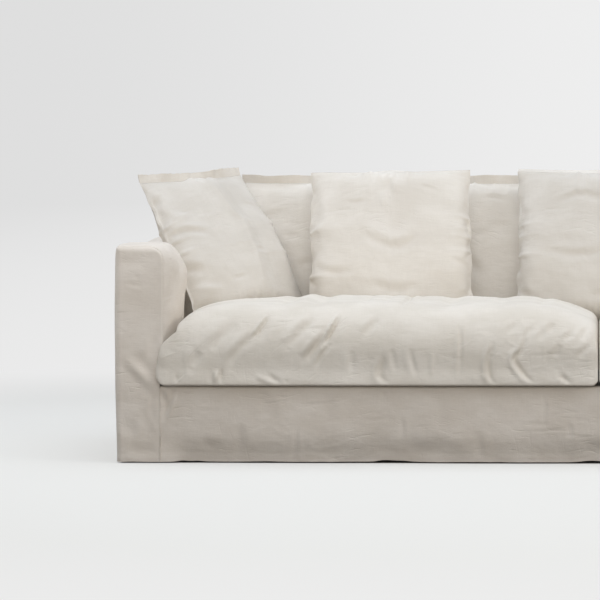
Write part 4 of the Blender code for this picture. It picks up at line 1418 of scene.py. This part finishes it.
PILLOW_CREASES: dict[str, tuple[Crease, ...]] = {
    # (across, up) from the pillow's middle
    "front_1": (
        Crease(
            ((0.016, 0.260), (0.016, 0.090), (0.036, 0.017), (0.021, -0.107), (0.012, -0.260)),
            0.062, -0.0110, 0.0,
        ),
        Crease(
            ((0.010, 0.210), (0.018, 0.090), (0.036, 0.017), (0.021, -0.107), (0.012, -0.210)),
            0.013, -0.0030, 0.0,
        ),
        Crease(((0.066, 0.200), (0.082, 0.020), (0.070, -0.180)), 0.022, 0.0026, 0.0),
        Crease(((-0.330, 0.100), (-0.240, -0.165), (-0.130, -0.330)), 0.085, 0.0170, 0.0),
        Crease(((-0.215, 0.150), (-0.178, 0.138)), 0.014, 0.0060),
        Crease(((-0.207, 0.124), (-0.196, 0.060)), 0.010, 0.0036),
        Crease(((-0.180, 0.088), (-0.120, 0.070)), 0.014, -0.0040, 0.2),
        Crease(((-0.215, 0.036), (-0.150, 0.034), (-0.080, 0.018)), 0.009, 0.0054),
        Crease(((-0.215, -0.066), (-0.190, -0.070), (-0.145, -0.088)), 0.013, 0.0066),
        Crease(((-0.190, -0.132), (-0.110, -0.142)), 0.012, -0.0044, 0.2),
        Crease(((-0.222, -0.185), (-0.130, -0.195)), 0.020, 0.0066),
        Crease(((-0.195, -0.212), (-0.160, -0.222)), 0.010, -0.0056, 0.2),
        Crease(((-0.074, -0.112), (-0.028, -0.118)), 0.0045, 0.0020),
        Crease(((0.030, -0.050), (0.075, -0.044)), 0.005, 0.0016),
        Crease(((-0.030, 0.208), (0.022, 0.204)), 0.014, 0.0036),
        Crease(((0.100, 0.100), (0.150, 0.092)), 0.005, 0.0014),
    ),
    "front_2": (
        Crease(((0.002, 0.170), (-0.004, 0.150), (-0.002, 0.118)), 0.012, 0.0052),
        Crease(((-0.022, 0.128), (-0.012, 0.086)), 0.012, -0.0028, 0.2),
        Crease(
            ((-0.084, 0.030), (-0.030, -0.002), (0.015, -0.014), (0.048, 0.000), (0.068, 0.024)),
            0.013, 0.0044,
        ),
        Crease(((0.146, -0.046), (0.190, -0.062), (0.218, -0.082)), 0.008, 0.0036),
        Crease(((0.175, -0.186), (0.226, -0.176)), 0.011, -0.0060, 0.2),
        Crease(((0.180, -0.150), (0.222, -0.140)), 0.010, 0.0040),
        Crease(((-0.200, -0.060), (-0.140, -0.078), (-0.090, -0.070)), 0.010, 0.0028),
        Crease(((-0.210, 0.150), (-0.190, 0.060), (-0.205, -0.020)), 0.012, 0.0026),
        Crease(((-0.050, -0.110), (0.020, -0.122), (0.080, -0.112)), 0.012, 0.0030),
        Crease(((0.205, 0.110), (0.212, 0.020), (0.204, -0.040)), 0.012, 0.0030),
        Crease(((0.080, 0.150), (0.130, 0.142)), 0.006, 0.0016),
        Crease(((-0.120, 0.112), (-0.060, 0.104)), 0.006, 0.0018),
    ),
    "front_3": (
        Crease(((-0.110, 0.110), (-0.050, 0.122), (0.020, 0.112)), 0.010, 0.0034),
        Crease(((-0.130, -0.020), (-0.060, -0.034), (0.010, -0.024)), 0.010, 0.0040),
        Crease(((0.050, 0.060), (0.110, 0.040), (0.170, 0.056)), 0.012, 0.0044),
        Crease(((-0.218, -0.130), (-0.180, -0.150)), 0.012, 0.0050),
        Crease(((-0.222, 0.120), (-0.200, 0.080)), 0.012, 0.0040),
        Crease(((-0.214, -0.190), (-0.170, -0.180)), 0.011, -0.0050, 0.2),
        Crease(((0.180, -0.120), (0.214, -0.146)), 0.012, 0.0044),
        Crease(((-0.020, -0.130), (0.060, -0.140)), 0.011, 0.0030),
    ),
    "front_4": (
        Crease(((-0.070, 0.050), (-0.010, 0.024), (0.060, 0.044)), 0.012, 0.0054),
        Crease(((0.110, 0.150), (0.140, 0.110)), 0.012, 0.0040),
        Crease(((-0.216, -0.070), (-0.160, -0.090)), 0.010, 0.0040),
        Crease(((0.170, -0.176), (0.216, -0.190)), 0.011, -0.0050, 0.2),
        Crease(((-0.120, -0.130), (-0.040, -0.140)), 0.010, 0.0030),
        Crease(((-0.150, 0.140), (-0.080, 0.130)), 0.007, 0.0024),
    ),
    "front_5": (
        Crease(((-0.020, 0.260), (-0.010, 0.080), (-0.030, -0.020), (-0.014, -0.260)), 0.060, -0.0100, 0.0),
        Crease(((0.250, 0.020), (0.190, -0.130), (0.120, -0.250)), 0.060, 0.0100, 0.0),
        Crease(((0.215, 0.120), (0.176, 0.108)), 0.014, 0.0056),
        Crease(((0.212, 0.010), (0.150, 0.014), (0.086, 0.000)), 0.010, 0.0050),
        Crease(((0.214, -0.086), (0.150, -0.104)), 0.014, 0.0060),
        Crease(((0.196, -0.150), (0.120, -0.164)), 0.012, -0.0044, 0.2),
        Crease(((0.030, 0.060), (0.066, 0.000)), 0.010, 0.0026),
        Crease(((-0.090, 0.130), (-0.140, 0.118)), 0.006, 0.0016),
    ),
    "rear_1": (
        Crease(((-0.090, 0.046), (-0.040, 0.038)), 0.006, 0.0026),
        Crease(((-0.150, 0.100), (-0.090, 0.108)), 0.008, 0.0024),
        Crease(((-0.060, -0.040), (-0.010, -0.030)), 0.008, 0.0024),
    ),
    "rear_2": (
        Crease(((-0.035, 0.172), (0.000, 0.163)), 0.006, 0.0030),
        Crease(((0.003, 0.138), (0.036, 0.140), (0.074, 0.138)), 0.005, 0.0034),
        Crease(((0.009, 0.066), (0.050, 0.068), (0.094, 0.066)), 0.004, 0.0026),
        Crease(((-0.020, 0.040), (0.020, 0.050)), 0.008, 0.0024),
        Crease(((-0.040, -0.020), (0.000, -0.060)), 0.014, 0.0040),
    ),
    "rear_3": (
        Crease(((-0.060, 0.130), (0.000, 0.134)), 0.006, 0.0028),
        Crease(((-0.080, 0.020), (-0.010, 0.010)), 0.008, 0.0026),
    ),
    "rear_4": (
        Crease(((0.050, 0.080), (0.120, 0.074)), 0.007, 0.0026),
        Crease(((0.020, -0.030), (0.090, -0.040)), 0.008, 0.0026),
    ),
}


def back_numbers(n: int) -> Array:
    """Numbers the back face's points, n by n, of a pillow whose faces share their rim."""
    back = np.arange(n * n).reshape(n, n)
    back[1:-1, 1:-1] = n * n + np.arange((n - 2) ** 2).reshape(n - 2, n - 2)
    return back


def sewn_faces(name: str, faces: tuple[Array, Array], weaves: tuple[Array, Array]) -> bpy.types.Object:
    """Sews a front and a back face together round their rims.

    Args:
        name: the piece's name.
        faces: the front's and the back's points, each n by n by 3.
        weaves: where those points lie on the cloth, each n by n by 2.

    Returns:
        The new object.
    """
    n = len(faces[0])
    points, weave = (
        np.vstack([front.reshape(n * n, -1), back[1:-1, 1:-1].reshape((n - 2) ** 2, -1)])
        for front, back in (faces, weaves)
    )
    quads = grid_quads(n, n)
    return new_piece(name, points, [quads, back_numbers(n).ravel()[quads][:, ::-1]], weave)


@dataclass
class Pillow:
    """A square pillow of two linen faces, blown up as cloth, with a flange on top."""

    place: PillowPlace
    material: bpy.types.Material
    trim: bpy.types.Material
    cells: int = 56
    straighten: float = 0.92
    cut_allowance: float = 1.035
    flange_rise: float = 0.026
    flange_cloth: float = 0.0022
    gap: float = 0.0003
    seam_ripple: float = 0.0052
    back_weave: float = 0.7
    blown: Optional[bpy.types.Object] = field(default=None, repr=False)

    @staticmethod
    def square(n: int) -> tuple[Array, Array]:
        """Returns places from -1 to 1 across and up an n by n face."""
        line = np.linspace(-1.0, 1.0, n)
        return tuple(np.meshgrid(line, line))

    def start_blowing(self) -> None:
        """Sews two flat squares together and hands them to the cloth solver."""
        u, v = self.square(self.cells + 1)
        x = u * self.place.width / 2.0 * self.cut_allowance
        z = v * self.place.height / 2.0 * self.cut_allowance
        thick = 0.012 * ((1.0 - u**2) * (1.0 - v**2)) ** 0.5
        faces = []
        for y in (-thick, thick):
            y = y + 0.0016 * lumps(x, z + 2.0 * y, self.place.seed + 9)
            faces.append(np.stack([x, y, z], -1))
        flat = np.stack([x, z], -1)
        sewn = sewn_faces(f"blown_{self.place.name}", tuple(faces), (flat, flat))
        cloth = sewn.modifiers.new("cloth", "CLOTH")
        settings = cloth.settings
        settings.quality = 4
        settings.mass = 0.3
        settings.air_damping = 2.0
        settings.tension_stiffness = settings.compression_stiffness = 15.0
        settings.shear_stiffness = 5.0
        settings.bending_stiffness = 2.0
        settings.tension_damping = settings.compression_damping = 15.0
        settings.shear_damping = 5.0
        settings.use_pressure = True
        settings.uniform_pressure_force = 4.5
        settings.shrink_min = settings.shrink_max = -0.02
        settings.effector_weights.gravity = 0.0
        cloth.collision_settings.use_collision = False
        cloth.point_cache.frame_start, cloth.point_cache.frame_end = 1, BLOW_FRAMES
        self.blown = sewn

    def faces(self) -> tuple[Array, Array]:
        """Returns the front and back face's points after blowing, fitted to the size."""
        n = self.cells + 1
        if self.blown is None:
            front, back = self.plain_faces()
        else:
            solved = self.blown.evaluated_get(bpy.context.evaluated_depsgraph_get())
            points = np.empty(len(solved.data.vertices) * 3)
            solved.data.vertices.foreach_get("co", points)
            points = points.reshape(-1, 3)
            front = self.smoothed(points[: n * n].reshape(n, n, 3))
            back = self.smoothed(points[back_numbers(n)])
            bpy.data.objects.remove(self.blown, do_unlink=True)
            self.blown = None
        both = np.concatenate([front.reshape(-1, 3), back.reshape(-1, 3)])
        low, high = both.min(0), both.max(0)
        size = np.array([self.place.width, self.place.thickness, self.place.height])
        scale = size / (high - low)
        scale[1] = min(scale[1], 1.4)
        middle = (low + high) / 2.0
        front, back = (front - middle) * scale, (back - middle) * scale
        self.straighten_seams(front, back)
        return front, back

    @staticmethod
    def smoothed(points: Array) -> Array:
        """Returns a copy of a face's points with wrinkles finer than the grid evened out."""
        points = points.copy()
        for _ in range(2):
            around = points[:-2, 1:-1] + points[2:, 1:-1] + points[1:-1, :-2] + points[1:-1, 2:]
            points[1:-1, 1:-1] = 0.5 * points[1:-1, 1:-1] + 0.125 * around
        return points

    def straighten_seams(self, front: Array, back: Array) -> None:
        """Spreads both faces so that the seams draw in only a little between the corners."""
        line = np.linspace(-1.0, 1.0, self.cells + 1)
        bowed = 1.0 - self.place.draw * (1.0 - line**2)
        for axis, half in ((0, self.place.width / 2.0), (2, self.place.height / 2.0)):
            seams = front[:, :, axis] if axis == 0 else front[:, :, axis].T
            low, high = seams[:, :1].copy(), seams[:, -1:].copy()
            reach = half * bowed[:, None]
            for face in (front, back):
                values = face[:, :, axis] if axis == 0 else face[:, :, axis].T
                spread = -reach + (values - low) / (high - low) * 2.0 * reach
                values += self.straighten * (spread - values)

    def plain_faces(self) -> tuple[Array, Array]:
        u, v = self.square(self.cells + 1)
        x, z = self.place.width / 2.0 * u, self.place.height / 2.0 * v
        thick = self.place.thickness / 2.0 * ((1.0 - u**2) * (1.0 - v**2)) ** 0.42
        return np.stack([x, -thick, z], -1), np.stack([x, thick, z], -1)

    def refine(self, points: Array) -> Array:
        """Returns a grid with a point added between each two, on smooth curves."""
        for axis in (0, 1):
            moved = np.moveaxis(points, axis, 0)
            before = np.concatenate([2 * moved[:1] - moved[1:2], moved[:-1]])
            after = np.concatenate([moved[1:], 2 * moved[-1:] - moved[-2:-1]])
            further = np.concatenate([after[1:], 2 * after[-1:] - after[-2:-1]])
            between = ((moved + after) * 9.0 - before - further) / 16.0
            out = np.empty((2 * len(moved) - 1, *moved.shape[1:]))
            out[0::2] = moved
            out[1::2] = between[:-1]
            points = np.moveaxis(out, 0, axis)
        return points

    def stand(self, points: Array) -> Array:
        """Returns points turned, leaned and put where the pillow stands."""
        place = self.place
        turn = Euler((0.0, 0.0, math.radians(place.yaw))).to_matrix()
        lean = Euler((-math.radians(place.lean), 0.0, 0.0)).to_matrix()
        roll = Euler((0.0, -math.radians(place.roll), 0.0)).to_matrix()
        matrix = np.array(turn @ lean @ roll)
        return points @ matrix.T + np.array([place.x, place.y, place.z])

    def build(self) -> None:
        """Creases, bends and places the pillow and its flange, and dresses both."""
        place = self.place
        front, back = self.faces()
        if place.fine:
            front, back = self.refine(front), self.refine(back)
        u, v = self.square(len(front))
        across, along = u * place.width / 2.0, v * place.height / 2.0
        rim = np.minimum(1.0 - np.abs(u), 1.0 - np.abs(v))
        soft = ease(rim / 0.10)
        sag = blend(1.0, 1.0 - 0.16 * v, soft)
        ripple = self.seam_ripple * smooth_noise(along / 0.032, across / 0.2 + np.sign(u), place.seed + 3)
        ripple *= ease((np.abs(u) - 0.86) / 0.14) * np.sign(u)
        own_creases = PILLOW_CREASES.get(place.name, ())
        for face, outwards, creases, seed in (
            (front, -1.0, own_creases, place.seed),
            (back, 1.0, (), place.seed + 40),
        ):
            depth = np.abs(face[:, :, 1])
            full = depth.max()
            face[:, :, 1] *= sag * blend(1.0, (depth / full) ** (place.taper - 1.0), soft)
            lift = 0.0018 * lumps(across, along, seed)
            lift += place.crease_boost * relief(creases, across, along)
            lift += 0.0006 * (crumple(across, along, seed + 7, 0.034, 2.4) - 0.2)
            face[:, :, 0] = face[:, :, 0] * (1.0 - 0.5 * place.flare * v) + ripple
            face[:, :, 1] += outwards * lift * soft - place.bend * (1.0 - v**2)
            face[:, :, 2] += place.height / 2.0
        weave = np.stack([across, along], -1)
        node = f"pillow_{place.name}"
        faces = (self.stand(front), self.stand(back))
        piece = sewn_faces(f"{node}_cloth", faces, (weave, weave + self.back_weave))
        dress(piece, self.material, node)
        self.flange(front[-1])

    def flange(self, edge: Array) -> None:
        """Cloth strip that flops along the pillow's top edge, in the linen without painted shade."""
        place = self.place
        rows, count = 9, 110
        share = np.linspace(0.0, 1.0, count)
        known = np.linspace(0.0, 1.0, len(edge))
        base = np.stack([np.interp(share, known, edge[:, k]) for k in range(3)], -1)
        up, _ = np.meshgrid(np.linspace(0.0, 1.0, rows), share, indexing="ij")
        across = (2.0 * share - 1.0)[None, :]
        reach = self.flange_rise * (1.0 - 0.10 * np.sin(across * 4.0 + place.x * 3.0) ** 2)
        reach = reach * (1.0 + 0.05 * smooth_noise(across * 6.0, across * 0.0, place.seed + 8))
        wave = 0.0030 * np.sin(across * 7.0 + place.x * 5.0) * up
        wave = wave + 0.0034 * up * smooth_noise(across * 9.0, up * 0.5, place.seed + 5)
        wave = wave + 0.0026 * up * smooth_noise(across * 24.0, up * 0.4, place.seed + 11)
        flop = math.radians(place.flop) + 0.22 * smooth_noise(across * 2.3, across * 0.0, place.seed + 6)
        rise = reach * up
        points = np.empty((rows, count, 3))
        points[:, :, 0] = base[None, :, 0] * 0.992
        points[:, :, 1] = base[None, :, 1] + rise * np.sin(flop) + wave * np.cos(flop)
        points[:, :, 2] = base[None, :, 2] + 2.0 * self.gap + rise * np.cos(flop)
        width = np.broadcast_to(across * place.width / 2.0, rise.shape)
        weave = np.stack([width, rise + place.height / 2.0], -1)
        node = f"flange_{place.name}"
        piece = cloth_sheet(f"{node}_cloth", self.stand(points), weave, self.flange_cloth)
        dress(piece, self.trim, node)


def blow_up(pillows: list[Pillow]) -> None:
    """Runs the cloth solver on all the sewn pillows at once."""
    for pillow in pillows:
        pillow.start_blowing()
    for number in range(1, BLOW_FRAMES + 1):
        bpy.context.scene.frame_set(number)
    LOG.info("%d pillows blown up", len(pillows))


# ---- studio -------------------------------------------------------------------------
@dataclass
class Studio:
    """Pale floor and backdrop, soft lights, and the camera."""

    camera_place: tuple[float, float, float] = (0.0, -10.985, 0.88)
    camera_aim: tuple[float, float, float] = (-0.8127, -0.485, 0.4478)
    camera_roll: float = -0.004
    lens: float = 231.64
    floor_tone: float = 0.86
    floor_glow: float = 0.45
    bounce_tone: float = 0.12
    backdrop_left: float = 0.735
    backdrop_right: float = 0.860
    backdrop_span: Point = (-9.0, 1.5)
    melt_span: Point = (1.4, 4.4)
    dome_radius: float = 45.0
    hem_half_width: float = 1.316
    hem_half_depth: float = 0.494
    hem_middle: float = 0.019

    def build(self) -> None:
        """Builds the whole studio."""
        self.camera()
        self.lights()
        self.world()
        self.dome()
        self.floor()
        view = bpy.context.scene.view_settings
        view.view_transform = "Standard"
        view.look = "None"

    def camera(self) -> None:
        """Puts the camera at the photograph's viewing angle."""
        data = bpy.data.cameras.new("camera")
        data.lens = self.lens
        data.sensor_width = 36.0
        data.clip_start, data.clip_end = 0.1, 200.0
        eye = bpy.data.objects.new("camera", data)
        eye.location = self.camera_place
        look = Vector(self.camera_aim) - Vector(self.camera_place)
        turn = look.to_track_quat("-Z", "Y") @ Quaternion((0.0, 0.0, 1.0), self.camera_roll)
        eye.rotation_euler = turn.to_euler()
        bpy.context.collection.objects.link(eye)
        bpy.context.scene.camera = eye

    def area(self, name: str, place: tuple, aim: tuple, size: Point, power: float, colour: Colour) -> None:
        """Adds one soft rectangular light that the camera doesn't see."""
        data = bpy.data.lights.new(name, "AREA")
        data.shape = "RECTANGLE"
        data.size, data.size_y = size
        data.energy = power
        data.color = colour
        lamp = bpy.data.objects.new(name, data)
        lamp.location = place
        lamp.rotation_euler = (Vector(aim) - Vector(place)).to_track_quat("-Z", "Y").to_euler()
        lamp.visible_camera = False
        bpy.context.collection.objects.link(lamp)

    def lights(self) -> None:
        """Hangs the large key light overhead, a weak fill in front and one on each side."""
        self.area("key", (-0.6, -0.4, 3.8), (-0.2, -0.2, 0.3), (7.0, 5.0), 142.0, (0.915, 0.99, 1.10))
        self.area("fill", (-0.8, -7.0, 1.9), (-0.6, 0.0, 0.3), (6.0, 3.0), 98.0, (1.0, 0.94, 0.865))
        self.area("side", (5.0, -3.4, 2.6), (-0.4, 0.0, 0.4), (3.0, 2.4), 82.0, (1.0, 0.97, 0.93))
        self.area("far_side", (-5.0, 0.6, 3.2), (-1.0, 0.0, 0.5), (3.0, 2.4), 34.0, (0.97, 0.99, 1.02))

    def world(self) -> None:
        """Sets a pale even surrounding light."""
        world = bpy.data.worlds.new("studio")
        world.use_nodes = True
        desk = NodeDesk(world.node_tree)
        pale = desk.add("Background", {"Color": (0.96, 0.99, 1.04, 1.0), "Strength": 0.30})
        desk.add("OutputWorld", {"Surface": pale.outputs[0]})
        bpy.context.scene.world = world

    def backdrop_light(self, desk: NodeDesk) -> bpy.types.NodeSocket:
        """Adds the backdrop's even glow, a little darker to the left."""
        place = desk.add("TexCoord").outputs["Object"]
        across = desk.add("SeparateXYZ", {0: place}).outputs[0]
        tone = desk.add(
            "MapRange",
            {
                "Value": across,
                "From Min": self.backdrop_span[0],
                "From Max": self.backdrop_span[1],
                "To Min": self.backdrop_left,
                "To Max": self.backdrop_right,
            },
            interpolation_type="SMOOTHSTEP",
        )
        grey = desk.add("CombineColor", {0: tone.outputs[0], 1: tone.outputs[0], 2: tone.outputs[0]})
        return desk.add("Emission", {"Color": grey.outputs[0], "Strength": 1.0}).outputs[0]

    def dome(self) -> None:
        """Adds the backdrop that only the camera sees."""
        bpy.ops.object.select_all(action="DESELECT")
        bpy.ops.mesh.primitive_uv_sphere_add(segments=64, ring_count=32, radius=self.dome_radius)
        dome = bpy.context.object
        dome.name = "backdrop"
        dome.data.shade_smooth()
        made, desk = blank_material("backdrop")
        desk.add("OutputMaterial", {"Surface": self.backdrop_light(desk)})
        dome.data.materials.append(made)
        for kind in ("diffuse", "glossy", "transmission", "volume_scatter", "shadow"):
            setattr(dome, f"visible_{kind}", False)

    def floor(self) -> None:
        """Adds the pale floor, which melts into the backdrop far from the sofa.

        The floor that the camera sees throws no light back. A darker one just under it
        does, as a matt studio floor would.
        """
        shown = self.floor_disc("floor", 0.0, self.floor_tone, self.floor_glow)
        shown.visible_diffuse = False
        below = self.floor_disc("floor_bounce", -0.0005, self.bounce_tone, 0.0)
        below.visible_camera = False

    def outside_hem(self, desk: NodeDesk, place: bpy.types.NodeSocket) -> bpy.types.NodeSocket:
        """Returns 1 on the open floor and 0 in the dark under the cover."""
        split = desk.add("SeparateXYZ", {0: place})
        across = desk.math("ABSOLUTE", split.outputs[0])
        back = desk.math("ABSOLUTE", desk.math("SUBTRACT", split.outputs[1], self.hem_middle))
        across = desk.stepped(desk.math("SUBTRACT", across, self.hem_half_width), -0.012, 0.0)
        back = desk.stepped(desk.math("SUBTRACT", back, self.hem_half_depth), -0.012, 0.0)
        return desk.math("MAXIMUM", across, back)

    def floor_disc(self, name: str, height: float, tone: float, glow: float) -> bpy.types.Object:
        """Adds one staged disc of floor at a height, of a grey tone, with its least glow."""
        bpy.ops.object.select_all(action="DESELECT")
        bpy.ops.mesh.primitive_circle_add(
            vertices=96, radius=self.dome_radius * 0.97, fill_type="NGON", location=(0.0, 0.0, height)
        )
        ground = bpy.context.object
        ground.name = name
        made, desk = blank_material(name)
        place = desk.add("TexCoord").outputs["Object"]
        far = desk.add("VectorMath", {0: place}, operation="LENGTH").outputs["Value"]
        paint = desk.add("BsdfDiffuse", {"Color": (tone, 0.98 * tone, 0.91 * tone, 1.0)})
        share = desk.math("MAXIMUM", desk.stepped(far, *self.melt_span), glow)
        share = desk.math("MULTIPLY", share, self.outside_hem(desk, place))
        mixed = desk.add("MixShader", {0: share, 1: paint.outputs[0], 2: self.backdrop_light(desk)})
        desk.add("OutputMaterial", {"Surface": mixed.outputs[0]})
        ground.data.materials.append(made)
        return ground


def main() -> None:
    """Builds the studio, then every piece on the frame."""
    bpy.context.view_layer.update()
    Studio().build()
    cover_linen = LinenFinish("cover_linen", (0.826, 0.757, 0.674), (0.752, 0.679, 0.592)).material()
    cushion_linen = LinenFinish(
        "cushion_linen",
        (0.796, 0.742, 0.660),
        (0.724, 0.668, 0.582),
        # slanting pull lines, where the filling drags the cloth over the front edge
        drag=((-54.0, (8.0, 62.0), 1.7, (3.5, 4.0)), (-46.0, (12.0, 96.0), 1.3, (5.0, 5.0))),
    ).material()
    pillow_linen = LinenFinish("pillow_linen", (0.806, 0.756, 0.682), (0.734, 0.680, 0.602))
    # pillows with painted shade get darkened copies of the linen; the flanges keep the linen without
    # painted shade
    painted_shade_linens = {place.shade: pillow_linen.with_painted_shade(place.shade).material() for place in PILLOWS}
    pillows = [Pillow(place, painted_shade_linens[place.shade], painted_shade_linens[1.0]) for place in PILLOWS]
    blow_up(pillows)
    for pillow in pillows:
        pillow.build()
    SeatCushion(Side.LEFT, cushion_linen, LEFT_SEAT_CREASES, 71).build()
    SeatCushion(Side.RIGHT, cushion_linen, RIGHT_SEAT_CREASES, 81).build()
    FittedCover(cover_linen).build()


if __name__ == "__main__":
    logging.basicConfig(level=logging.INFO, format="%(message)s")
    main()
